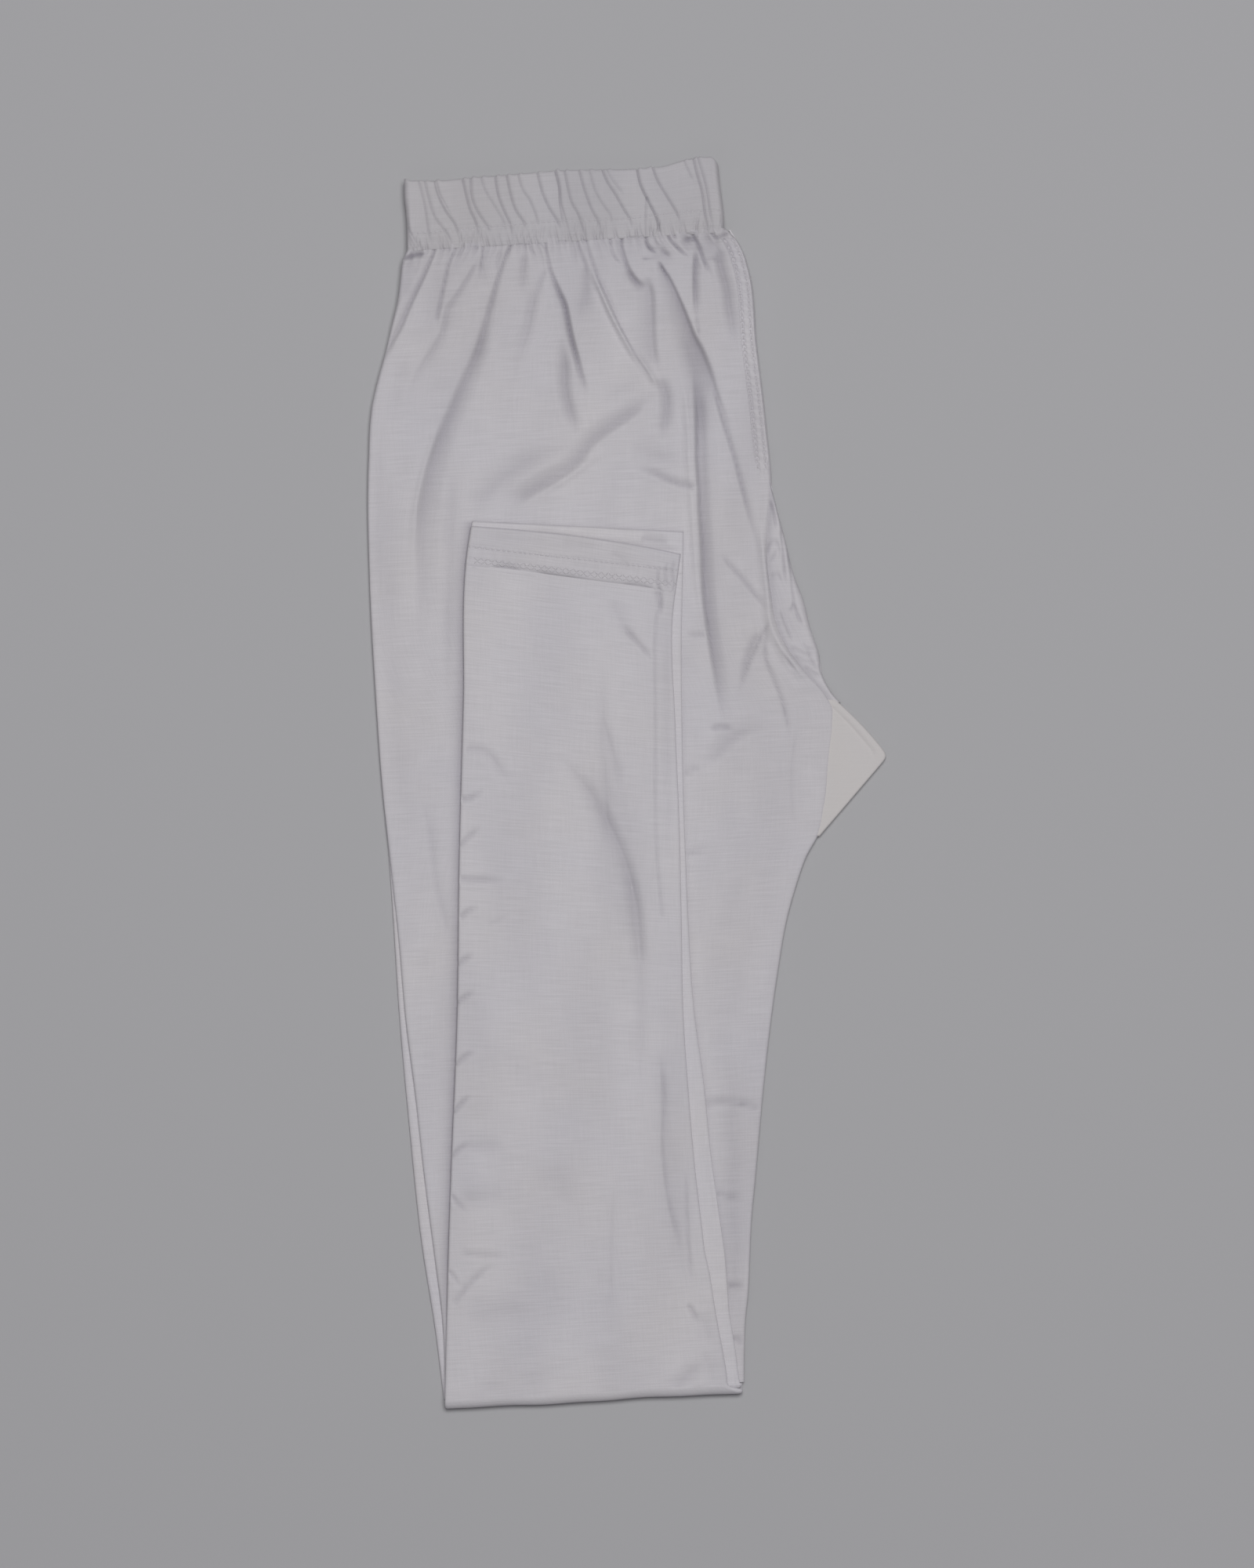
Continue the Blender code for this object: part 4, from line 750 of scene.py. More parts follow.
left_y, right_y = rows_between(KNEE, moved(WAIST_SEAM, 2), np.linspace(0, 1, floor_rows))
closed_right = ease((132 - right_y) / 10)
x, y, drop = rolled_plan(
    through(LOWER_LEFT, left_y), through(LOWER_RIGHT, right_y), left_y, right_y,
    columns, (EDGE_ROUND, EDGE_ROUND), floor_strips, (np.ones(floor_rows), closed_right))
floor_thick = middle_height(y) - LEG_GAP
crumple = crease_relief(x, y, CRUMPLES) * (drop > 0.9)
floor = np.stack([x, y, (floor_thick + crumple) * drop], axis=2)
# Painted shade in the crumples of the floor side
floor_painted_shade = painted_shade_of(crumple * 1.2)
lower_leg = cloth_mesh(
    "lower_leg_cloth", np.concatenate([calf, knee, floor], axis=0), leg_cotton,
    painted_shade=np.concatenate([calf_painted_shade, np.zeros(knee.shape[:2]), floor_painted_shade], axis=0))
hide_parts("lower_leg_panel")
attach(lower_leg, "root")


# The calf of the upper leg, a flat tube between the thigh and the top calf. Only its right fold
# shows, as a step beside the top calf, and its end at the hem. It goes round inside the knee fold.

CALF_GAP = 0.35
SECOND_TUBE = TUBE - 0.4
SECOND_ROLL = (1.2, 2.0)
SECOND_STRIPS = (70, 50)
SECOND_CREASES = (
    (1.2, 1.0, 0.5, 0.0, 0.2, 0.3, ((24, 60), (25, 0), (27, -60))),
    (1.2, 1.0, 0.6, 0.0, 0.2, 0.3, ((37, -165), (42, -200), (47, -240))),
    (1.0, 1.0, 0.5, 0.0, 0.1, 0.4, ((38, -168), (36, -170), (32, -172))),
    (1.0, 1.0, 0.5, 0.0, 0.1, 0.4, ((48, -244), (44, -246), (38, -245))))

rows, columns = 200, 60
left_y, right_y = rows_between(moved(UPPER_HEM, -HEM_DEPTH), KNEE, np.linspace(0, 1, rows))
closed = np.ones(rows)
x, y, drop = rolled_plan(
    through(CALF_LEFT, left_y) + 0.7, through(SECOND_RIGHT, right_y), left_y, right_y,
    columns, SECOND_ROLL, SECOND_STRIPS, (closed, closed))
under_calf = crease_relief(x, y, SECOND_CREASES) + flutter(x, y, 0.08, 5)
second_top = stack_top(y) - TUBE - CALF_GAP
second = np.stack([x, y, second_top + under_calf * (1 - drop / 2) - SECOND_TUBE * drop], axis=2)
angles = np.linspace(6, 174, 21)
knee_left = np.full(len(angles), -86.0)
knee_right = 54.8 - 1.2 * ease(angles / 180)
knee = round_knee(
    KNEE_RADIUS - TUBE - LEG_GAP, knee_left, knee_right, angles, columns,
    SECOND_ROLL, SECOND_STRIPS, SECOND_TUBE)
second_leg = cloth_mesh("second_calf_cloth", np.concatenate([second, knee], axis=0), leg_cotton)
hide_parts("inner_calf_layers")
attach(second_leg, "root")


# Everything between the two visible layers of the thighs: the front of the upper leg and the front
# of the lower one, of the same cotton. They lie flat and low inside, clear of the deepest creases.


def closed_pad(name, x, y, low_z, high_z, radius, material):
    """A flat pad with rounded rims, closed all round: at a distance d from the rim its half height
    is the root of 1 less (1 - d / radius) squared, times half the distance between its faces."""
    middle = np.stack([x, y], axis=2)[:, x.shape[1] // 2]
    to_sides = np.minimum(x - x[:, :1], x[:, -1:] - x)
    to_ends = np.minimum(
        np.linalg.norm(middle - middle[0], axis=1), np.linalg.norm(middle - middle[-1], axis=1))
    d = np.clip(np.minimum(to_sides, to_ends[:, None]) / radius, 0, 1)
    share = np.sqrt(1 - (1 - d) ** 2)
    centre, half = (low_z + high_z) / 2, (high_z - low_z) / 2
    top = np.stack([x, y, centre + half * share], axis=2)
    bottom = np.stack([x, y, centre - half * share], axis=2)[:, ::-1]
    rim = np.concatenate([top, bottom[:, 1:-1], top[:, :1]], axis=1)
    return cloth_mesh(name, rim, material, welded=True)


def rim_stations(start, end, count, radius):
    """Stations that crowd at both ends within a rim's radius."""
    turn = radius * (1 - np.cos(np.linspace(0, np.pi / 2, 6)))
    sign = np.sign(end - start)
    inside = np.linspace(start + sign * radius, end - sign * radius, count)[1:-1]
    return np.concatenate([start + sign * turn, inside, end - sign * turn[::-1]])


def pad_plan(left, right, inset, start, end, counts, radius):
    """Plan grid of a pad set in from two side outlines, from a start line to an end line."""
    share = rim_stations(0.0, 1.0, counts[1], radius / abs(start[0] - end[0]))
    left_y, right_y = rows_between(start, end, share)
    left_x, right_x = through(left, left_y) + inset, through(right, right_y) - inset
    across = rim_stations(0.0, 1.0, counts[0], radius / np.mean(right_x - left_x))
    x = left_x[:, None] + across * (right_x - left_x)[:, None]
    return x, left_y[:, None] * (1 - across) + right_y[:, None] * across


PAD_RIM = 0.8
PAD_INSET = 3.2
PAD_GAP = 0.4
x, y = pad_plan(
    UPPER_LEFT, UPPER_RIGHT, PAD_INSET, moved(WAIST_SEAM, 1), moved(KNEE, 1), (60, 90), PAD_RIM)
inner_thigh = closed_pad(
    "inner_thigh_cloth", x, y, PAD_GAP, LOWEST - PAD_GAP, PAD_RIM, leg_cotton)
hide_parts("inner_thigh_layers")
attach(inner_thigh, "root")


# The hems of both trouser legs: each leg end is a flat tube, turned up twice and stitched. The top
# one is a little shorter on the right, so the one below looks out above it.

HEM_WALL = 0.8
HEM_LIP = 0.45
HEM_FOLD = 1.15


def hem_tube(name, node, hem, right_edge, columns, bow, low, high, shade):
    """Flattened tube, rows along the leg: its outside up to the end, round the lip, and back
    inside. Across, it runs once round: top, right fold, bottom, left fold. Its end bows up by
    bow, and its lip gets a thin line of painted shadow."""
    outside = np.linspace(HEM_DEPTH + 1.5, HEM_LIP, 42)
    inside = np.linspace(HEM_LIP, 9, 8)
    lip_turn = np.linspace(0, np.pi, 9)[1:-1]
    back = np.concatenate([outside, HEM_LIP * (1 - np.sin(lip_turn)), inside])
    wall = np.concatenate([
        np.zeros(len(outside)), HEM_WALL * (1 - np.cos(lip_turn)) / 2,
        np.full(len(inside), HEM_WALL)])
    left_y, right_y = hem[0] - back, hem[1] - back
    left_x, right_x = through(CALF_LEFT, left_y), through(right_edge, right_y)
    turn = np.linspace(0, np.pi, 13)[1:-1]
    share = np.linspace(0, 1, columns)
    # Where round the tube: share of the width, sideways reach of the fold, height from -1 to 1
    across = np.concatenate([
        share, np.ones(len(turn)), share[::-1], np.zeros(len(turn)), share[:1]])
    reach = np.concatenate([
        np.zeros(columns), np.sin(turn), np.zeros(columns), -np.sin(turn), [0]])
    rise = np.concatenate([np.ones(columns), np.cos(turn), -np.ones(columns), -np.cos(turn), [1]])
    inner_left, inner_right = left_x + HEM_FOLD, right_x - HEM_FOLD
    back, wall = back[:, None], wall[:, None]
    x = inner_left[:, None] + across * (inner_right - inner_left)[:, None]
    x = x + reach * (HEM_FOLD - wall)
    y = left_y[:, None] * (1 - across) + right_y[:, None] * across
    y = y + bow * np.sin(np.pi * across ** 1.15) ** 0.8 * ease(1 - (back - 0.5) / 10)
    top, bottom = high(x, y), low(x, y)
    centre, half = (top + bottom) / 2, (top - bottom) / 2
    z = centre + rise * np.maximum(half - wall, 0.22)
    # Painted shade on the face, and a painted shadow line along the lip
    on_lip = (np.abs(np.arange(len(back)) - len(outside) - 1) < 3)[:, None]
    painted_shade = shade(x, y) * (rise > 0.5) * (wall < 0.1) + 0.32 * on_lip
    piece = cloth_mesh(name, np.stack([x, y, z], axis=2), leg_cotton, painted_shade=painted_shade)
    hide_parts(node)
    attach(piece, "root")


def from_hem(x, y, hem):
    """Distance down the leg from its end line."""
    return end_line(x, hem) - y


HEM_CREASES = (
    (1.1, 1.0, 0.7, 0.3, 0.2, 0.4, ((-76, 104.2), (-50, 102), (-30, 98.6), (-6, 95.6), (12, 93),
        (22, 90))),
    (1.8, 1.0, 0.9, 0.2, 0.3, 0.4, ((-46, 101), (-32, 98.2), (-16, 96.6))),
    (1.0, 1.0, 0.7, 0.0, 0.3, 0.3, ((-66, 102.8), (-58, 103.2), (-50, 101.6))),
    (1.2, 1.0, 0.6, 0.0, 0.3, 0.3, ((-4, 95), (6, 94.6), (14, 92))),
    (2.5, 1.0, 0.6, 0.0, 0.2, 0.4, ((-8, 111), (-2, 106), (4, 100))),
    (3.2, 1.0, 0.6, 0.0, 0.3, 0.4, ((-36, 115), (-22, 114), (-10, 113))),
    (1.0, 1.0, 0.9, 0.0, 0.2, 0.3, ((15, 104), (14.6, 97), (15, 90), (12, 84))),
    (0.9, 1.0, 0.7, 0.0, 0.2, 0.3, ((19, 106), (18.4, 99), (20, 91))),
    (0.9, 1.0, 0.8, 0.0, 0.2, 0.3, ((22.6, 108), (21.6, 101), (22.4, 94), (21, 88))),
    (3.5, 1.0, 0.4, 0.0, 0.2, 0.4, ((-70, 118), (-50, 116), (-36, 115))))

# The sliver of the lower of the two hems that shows above the top one
SLIVER_CREASES = (
    (1.2, 1.0, 0.7, 0.0, 0.2, 0.2, ((-60, 121.8), (-30, 118.2), (0, 114.4), (16, 112.4),
        (26, 111))),
    (2.4, 1.0, 1.4, 0.0, 0.2, 0.3, ((6, 117), (13, 115.6), (21, 115))))

# Stitch rows of the hem: distance below its end line on the left, and how much that changes by the
# right; and the distance between two stitches
HEM_ROWS = ((10.2, -2.0), (16.2, -1.6))
HEM_PITCH = 2.6


def upper_hem_relief(x, y):
    """Pressed down along both stitch rows, deeper at each needle hole, with the puckers between
    them and a few creases."""
    down = from_hem(x, y, LOWER_HEM)
    share = (x - HEM_LEFT) / HEM_WIDTH
    first, second = (down - start - share * change for start, change in HEM_ROWS)
    holes = 1 + np.cos(2 * np.pi * (x + 0.3 * np.sin(x / 7)) / HEM_PITCH)
    pressed = 0.24 * holes * np.exp(-(first / 0.6) ** 2)
    pressed = pressed + 0.11 * holes * np.exp(-(second / 1.3) ** 2)
    ripple = 0.12 * np.sin(x / 1.1 + 1.7 * np.sin(x / 5.2)) * np.exp(-((down - 13) / 5) ** 2)
    return calf_relief(x, y) - pressed + ripple + crease_relief(x, y, HEM_CREASES)


def upper_hem_painted_shade(x, y):
    """Painted shade of the visible hem: its pressed rows and ripples, its creases, those of the
    calf, and a little all over, because its turned layers lie close."""
    rows = painted_shade_of(upper_hem_relief(x, y) - calf_relief(x, y) - crease_relief(x, y, HEM_CREASES))
    own = crease_relief(x, y, HEM_CREASES, shade=True)
    return rows + own + crease_relief(x, y, CALF_CREASES, shade=True) + 0.12


def upper_hem_face(x, y):
    """The visible hem: a touch above the calf."""
    down = from_hem(x, y, LOWER_HEM)
    lifted = 0.35 * ease((HEM_DEPTH + 0.8 - down) / 1.2) * ease((down + 4.5) / 6)
    return stack_top(y) + lifted + upper_hem_relief(x, y)


hem_tube(
    "lower_leg_hem_cloth", "lower_leg_hem", LOWER_HEM, CALF_RIGHT, columns=300, bow=2.0,
    low=lambda x, y: stack_top(y) - TUBE + 0.1, high=upper_hem_face, shade=upper_hem_painted_shade)
hem_tube(
    "upper_leg_hem_cloth", "upper_leg_hem", UPPER_HEM, SECOND_RIGHT, columns=150, bow=0.0,
    low=lambda x, y: through(THIGH_HEIGHT, y) + 0.2,
    high=lambda x, y: stack_top(y) - TUBE - 0.1 + crease_relief(x, y, SLIVER_CREASES),
    shade=lambda x, y: crease_relief(x, y, SLIVER_CREASES, shade=True))


# The gusset, a diamond of a slightly warmer and smoother cotton sewn in between the legs at the
# crotch. Folded along its middle it makes a triangle of two layers, each one with a soft rim.

# Upper corner, tip and lower corner: y, x
GUSSET = ((40.6, 99.4), (15.4, 123.2), (-25, 92))
GUSSET_RIM = 1.2
WARM_WHITE = (0.715, 0.692, 0.672)
gusset_cotton = woven_cotton("gusset_cotton", WARM_WHITE, slub=0.05, bump=0.2)


def gusset_half(name, node, low, high, at_seam, tuck, set_in):
    """Rows from the upper corner to the lower one, each from the seam under the leg to the fold.
    The upper side bulges a little, the lower one is straight, and they meet in a round tip: a soft
    least of two lines. The face rises to the leg's edge at the seam, and the fold has a soft
    rim."""
    (top_y, top_x), (tip_y, tip_x), (foot_y, foot_x) = GUSSET
    y_rows = rim_stations(top_y, foot_y, 60, GUSSET_RIM)
    seam_x = through(UPPER_RIGHT, y_rows)
    # The two side lines meet a little outside the round tip and below it
    tip_x, tip_y = tip_x + 1.6, tip_y - 2.0
    down = top_y - y_rows
    upper_side = top_x + down * (tip_x - top_x) / (top_y - tip_y)
    upper_side = upper_side + 1.3 * np.sin(np.pi * np.clip(down / (top_y - tip_y), 0, 1))
    lower_side = foot_x + (y_rows - foot_y) * (tip_x - foot_x) / (tip_y - foot_y)
    sharp, middle = 0.62, 90
    least = np.exp(-sharp * (upper_side - middle)) + np.exp(-sharp * (lower_side - middle))
    fold_x = -np.log(least) / sharp + middle - set_in
    across = rim_stations(0.0, 1.0, 46, 0.05)
    start = seam_x - tuck
    x = start[:, None] + across * np.maximum(fold_x - start, 0.4)[:, None]
    y = np.repeat(y_rows[:, None], len(across), axis=1)
    edge = (np.minimum(fold_x, upper_side - set_in)[:, None] - x) * 0.74
    rim = 0.25 * np.exp(-((edge - 2.2) / 1.2) ** 2) - 0.45 * np.exp(-((edge - 4.6) / 0.9) ** 2)
    from_seam = np.clip(x - seam_x[:, None], 0, None)
    face = high + rim * ease((y - 8) / 10) + 0.12 * np.sin(x / 4 + y / 7)
    face = face + (at_seam - high) * np.exp(-(from_seam / 4.0) ** 2) * ease((top_y - y) / 4)
    piece = closed_pad(name, x, y, low, face, GUSSET_RIM, gusset_cotton)
    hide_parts(node)
    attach(piece, "root")


gusset_half(
    "gusset_lower_cloth", "gusset_lower", low=0.0, high=2.5, at_seam=2.5, tuck=1.2, set_in=0.3)
gusset_half(
    "gusset_upper_cloth", "gusset_upper", low=2.7, high=4.7, at_seam=5.1, tuck=2.6, set_in=0.0)


# The centre back seam, felled: its allowance is folded over and stitched down twice. It runs down
# beside the fold of the hip, goes over it, and ends crumpled on the lower layer above the gusset.

SEAM_WIDTH = 6.4
SEAM_ROWS = (2.4, 6.2)
SEAM_PITCH = 2.8
SEAM_FLAT, SEAM_ROUND = 0.82, 0.18
SEAM_TURN = (158, 134)
SILHOUETTE = (
    (262, 49), (255, 55), (246, 58), (210, 62), (172, 66.5), (150, 68), (135, 71), (116, 76),
    (100, 80), (88, 84.5), (76, 87.5), (60, 92.4), (54.5, 92.9), (50, 94.6), (45.7, 96.8),
    (42, 99.4), (38.4, 103))
SEAM_CREASES = (
    (0.8, 1.0, 1.1, 0.2, 0.2, 0.3, ((68, 136), (70.2, 129), (71.4, 120))),
    (0.7, 1.0, 0.8, 0.0, 0.2, 0.3, ((71.4, 138), (73.6, 128), (74.6, 118))),
    (0.8, 1.0, 0.8, 0.0, 0.1, 0.3, ((67.4, 109), (68, 113.4), (70.2, 115.6), (72.3, 114),
        (72.9, 110), (71.4, 104.5))),
    (0.6, 1.0, 0.8, 0.0, 0.2, 0.3, ((69, 105.5), (70.4, 109), (71.6, 112))),
    (0.7, 1.0, 0.6, 0.0, 0.2, 0.3, ((69, 99), (72, 99.6), (74.4, 95.6))),
    (0.8, 1.0, 1.3, 0.0, 0.2, 0.3, ((73.2, 124), (74.4, 113), (75, 103), (75.8, 94))),
    (0.7, 1.0, 1.1, 0.3, 0.15, 0.35, ((76.2, 116), (78, 103), (79, 92.5), (79.5, 86.4), (78, 82.6),
        (75.4, 82.6))),
    (0.8, 1.0, 1.2, 0.2, 0.2, 0.3, ((79.2, 87), (81.4, 80.6), (84, 75))),
    (1.4, 1.0, -0.6, 0.0, 0.2, 0.3, ((81.4, 104), (83.4, 94), (86, 84))),
    (1.2, 1.0, 0.9, 0.2, 0.2, 0.3, ((73, 84), (76.4, 75), (80, 67))),
    (0.9, 1.0, 0.8, 0.0, 0.2, 0.3, ((78, 66), (84, 62.6), (90.5, 61.4))),
    (2.6, 1.2, 0.9, 0.3, 0.2, 0.3, ((69, 112), (71, 96), (74.6, 84), (80, 72), (85, 64))),
    (0.9, 1.0, 0.7, 0.0, 0.2, 0.3, ((80, 61.6), (85, 58.6), (91.6, 57))),
    (0.9, 1.0, 0.6, 0.0, 0.2, 0.3, ((83, 67.5), (87, 64.6), (91, 64))),
    (0.8, 1.0, 0.9, 0.0, 0.2, 0.3, ((84.6, 57), (88.4, 53.6), (93.4, 50.6))),
    (0.9, 1.0, 0.6, 0.0, 0.2, 0.3, ((86, 66), (88, 59), (92.4, 53))))


def quarter_round(t):
    """1 less the root of 1 less t squared: level up to t = 0, then down a quarter circle."""
    return 1 - np.sqrt(np.clip(1 - t.clip(0) ** 2, 0, 1))


# The strip's two edges: set in from the hip's fold above its turn, out to the silhouette below it
seam_y = np.linspace(WAIST_SEAM[1] - 2.5, 39, 300)
turned = ease((SEAM_TURN[0] - seam_y) / (SEAM_TURN[0] - SEAM_TURN[1]))
panel_edge = through(UPPER_RIGHT, seam_y)
outer_edge = through(SILHOUETTE, seam_y)
start = (panel_edge - SEAM_WIDTH - 1.0) * (1 - turned) + (panel_edge - 3) * turned
stop = (panel_edge - 0.9) * (1 - turned) + (outer_edge - 0.2) * turned
edge_round = SEAM_FLAT + SEAM_ROUND * np.sin(np.linspace(0, np.pi / 2, 9)[1:])
across = np.concatenate([np.linspace(0, SEAM_FLAT, 34), edge_round])
x = start[:, None] + across * (stop - start)[:, None]
y = np.repeat(seam_y[:, None], len(across), axis=1)

# Puckers along both stitch rows, and fine ones all over
from_edge = panel_edge[:, None] - x
puckers = 0.45 * np.exp(-((from_edge - SEAM_ROWS[0]) / 0.7) ** 2)
puckers = puckers + 0.55 * np.exp(-((from_edge - SEAM_ROWS[1]) / 0.8) ** 2)
puckers = puckers * (1 + 0.9 * np.sin(2 * np.pi * y / SEAM_PITCH + 1.4 * np.sin(y / 9)))
puckers = puckers + 0.12 * np.sin(y / 0.62 + 2.2 * np.sin(y / 3.7) + x / 1.5)

# Height on the hip above the turn and beside it below the turn, and the painted shade of both
# with a painted shadow on the lower layer beside the panel's edge
over = turned[:, None]
on_panel = thigh_top(x, y) + 0.5 - puckers - 0.5 * np.exp(-((across - 0.97) / 0.06) ** 2)
side_roll = 3.6 * quarter_round((across - SEAM_FLAT) / SEAM_ROUND)
beside = through(THIGH_HEIGHT, y) - 0.9 - side_roll + crease_relief(x, y, SEAM_CREASES)
beside = np.maximum(beside + flutter(x, y, 0.5, 11), 0.3)
seam_painted_shade = (thigh_painted_shade(x, y) + 0.5 * puckers) * (1 - over)
seam_painted_shade = seam_painted_shade + crease_relief(x, y, SEAM_CREASES, shade=True) * over
panel_edge_shadow = (0.06 + 0.34 * np.exp(-((x - panel_edge[:, None]) / 2.0) ** 2)) * over
seam_points = np.stack([x, y, on_panel * (1 - over) + beside * over], axis=2)
seam_cloth = cloth_mesh(
    "centre_seam_cloth", seam_points, leg_cotton, painted_shade=seam_painted_shade + panel_edge_shadow)
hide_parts("centre_seam")
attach(seam_cloth, "root")


# The waistband: one casing of the same cotton round a wide elastic, which gathers it. Folded in
# half lengthwise and pressed flat, it shows one of its four layers, pleated by the elastic.

BAND_LEFT = ((289, -106.3), (280, -106.2), (272, -105.4), (262, -104.9), (251, -105.0))
BAND_TOP = (
    (-107, 287.6), (-90, 287.4), (-75, 288.8), (-50, 290.8), (-35, 292.2), (-10, 292.6), (5, 293.2),
    (18, 294.6), (26, 296.8), (34, 298.4), (40, 298.8), (47, 298.8))

# Right end; where its corner begins, how wide and how high it is; left end and length of the foot
BAND_RIGHT = 46.3
BAND_CORNER = (40.3, 6.2, 5.5)
BAND_FOOT = (-105, 151)
BAND_HEIGHT = 13.0
CASING = 2.9
CASING_ROLL = 2.6
CASING_ROUND = 1.45
CASING_FOOT = 0.6
CASING_ROW = ((-106, 261.8), (-75, 264.4), (-37.5, 267.8), (0, 269.2), (26, 272.4), (46, 273.2))

# Pleats of the casing: depth and path from the top edge down
PLEATS = (
    (0.6, ((-100, 290), (-97.6, 280.7), (-96, 273.3), (-94.4, 262.6), (-92, 254))),
    (0.6, ((-97, 290), (-94.4, 279), (-91.5, 270), (-85, 261), (-83, 254))),
    (0.35, ((-91.5, 291), (-89.6, 282), (-86.5, 276), (-83, 270))),
    (0.8, ((-92.4, 291), (-90.3, 281.5), (-86.6, 273.3), (-81.7, 265.9), (-79, 256))),
    (0.8, ((-79.2, 292), (-76.7, 280.7), (-74.7, 273.3), (-71.8, 266.7), (-69.2, 255))),
    (0.7, ((-74.6, 290), (-73.9, 279.9), (-71, 272.5), (-66.1, 265), (-65, 262))),
    (0.5, ((-69.8, 290), (-67.7, 283), (-62.8, 274.9), (-58.7, 267.6), (-57.6, 262))),
    (0.8, ((-63.2, 293), (-61.6, 281.5), (-58.7, 273.3), (-55.4, 265.9), (-53.8, 256))),
    (0.8, ((-58, 293), (-55.4, 280.7), (-53, 273.3), (-49.3, 267.6), (-48.4, 263))),
    (0.6, ((-52.6, 294), (-50.1, 284), (-46.4, 278.2), (-43.1, 270), (-42, 264))),
    (0.8, ((-43.6, 295), (-40.7, 283), (-37.4, 275), (-32.9, 267.6), (-31.4, 263))),
    (0.6, ((-35.3, 296), (-32.5, 285.6), (-32, 277.4), (-30.8, 269.2), (-30, 263))),
    (0.5, ((-34.8, 294), (-32.3, 284), (-31.4, 276), (-28.7, 267), (-26, 256))),
    (0.7, ((-30.4, 295), (-26.9, 278.6), (-23.3, 271.4), (-20.6, 263.3), (-18.8, 256))),
    (0.7, ((-23.8, 296), (-20.6, 284), (-17, 274), (-13.4, 267), (-11, 256))),
    (0.5, ((-18.8, 296), (-15.7, 284), (-12.5, 277.7), (-8, 271), (-7.4, 266))),
    (0.8, ((-13.4, 297), (-9.8, 287.6), (-5.3, 280.4), (-1.7, 274), (1.9, 267.8), (2.4, 262))),
    (0.4, ((-10, 294), (-8, 289.4), (-4, 284), (-1, 280))),
    (1.1, ((4.2, 297), (6, 286.7), (9.1, 279.5), (13.2, 271.4), (15, 266), (15.4, 259))),
    (0.5, ((9.4, 280), (8.9, 271.4), (9.1, 261.5), (9.6, 256))),
    (0.8, ((11, 298), (14, 288.5), (18.1, 281.3), (22.6, 274), (24.6, 270), (26, 264))),
    (0.5, ((26.4, 300), (27.6, 296), (29.8, 291), (32, 286))),
    (0.8, ((30.8, 301), (33.4, 290.3), (35.7, 282), (37, 272.3), (38.4, 265), (38, 260))),
    (0.6, ((33, 301), (37, 287.6), (38.4, 281), (40, 270), (41.6, 263))),
    (0.5, ((-106, 276), (-105, 267), (-103, 262), (-99.7, 257), (-99, 252))),
    (0.4, ((-105.4, 270), (-104, 262), (-101, 255), (-100, 251))))

# The pleats as crease rows
PLEAT_CREASES = tuple((0.62, 1.0, 1.7 * depth, 0.35, 0.02, 0.3, path) for depth, path in PLEATS)


def band_painted_shade(x, y):
    """Painted shade of the band: pleats, the gathers below the casing's stitch row, faint patches.
    """
    gathers = painted_shade_of(0.9 * waist_gathers(x, y) * ease((through(CASING_ROW, x) + 1.5 - y) / 4))
    return crease_relief(x, y, PLEAT_CREASES, shade=True) + gathers + painted_shade_patches(x, y, 4)


def band_relief(x, y):
    """Pleats as narrow cuts, the waist gathers and puckers up to the casing's stitch row, a dip
    along the row, and a low swell."""
    pleats = crease_relief(x, y, PLEAT_CREASES)
    row_y = through(CASING_ROW, x)
    gathers = waist_gathers(x, y) * ease((row_y + 1.5 - y) / 4)
    stitch_dip = 0.22 * np.exp(-((y - row_y) / 0.7) ** 2) * (1 + 0.6 * np.sin(2.3 * x))
    return pleats + flutter(x, y, 0.12, 21) + gathers - stitch_dip


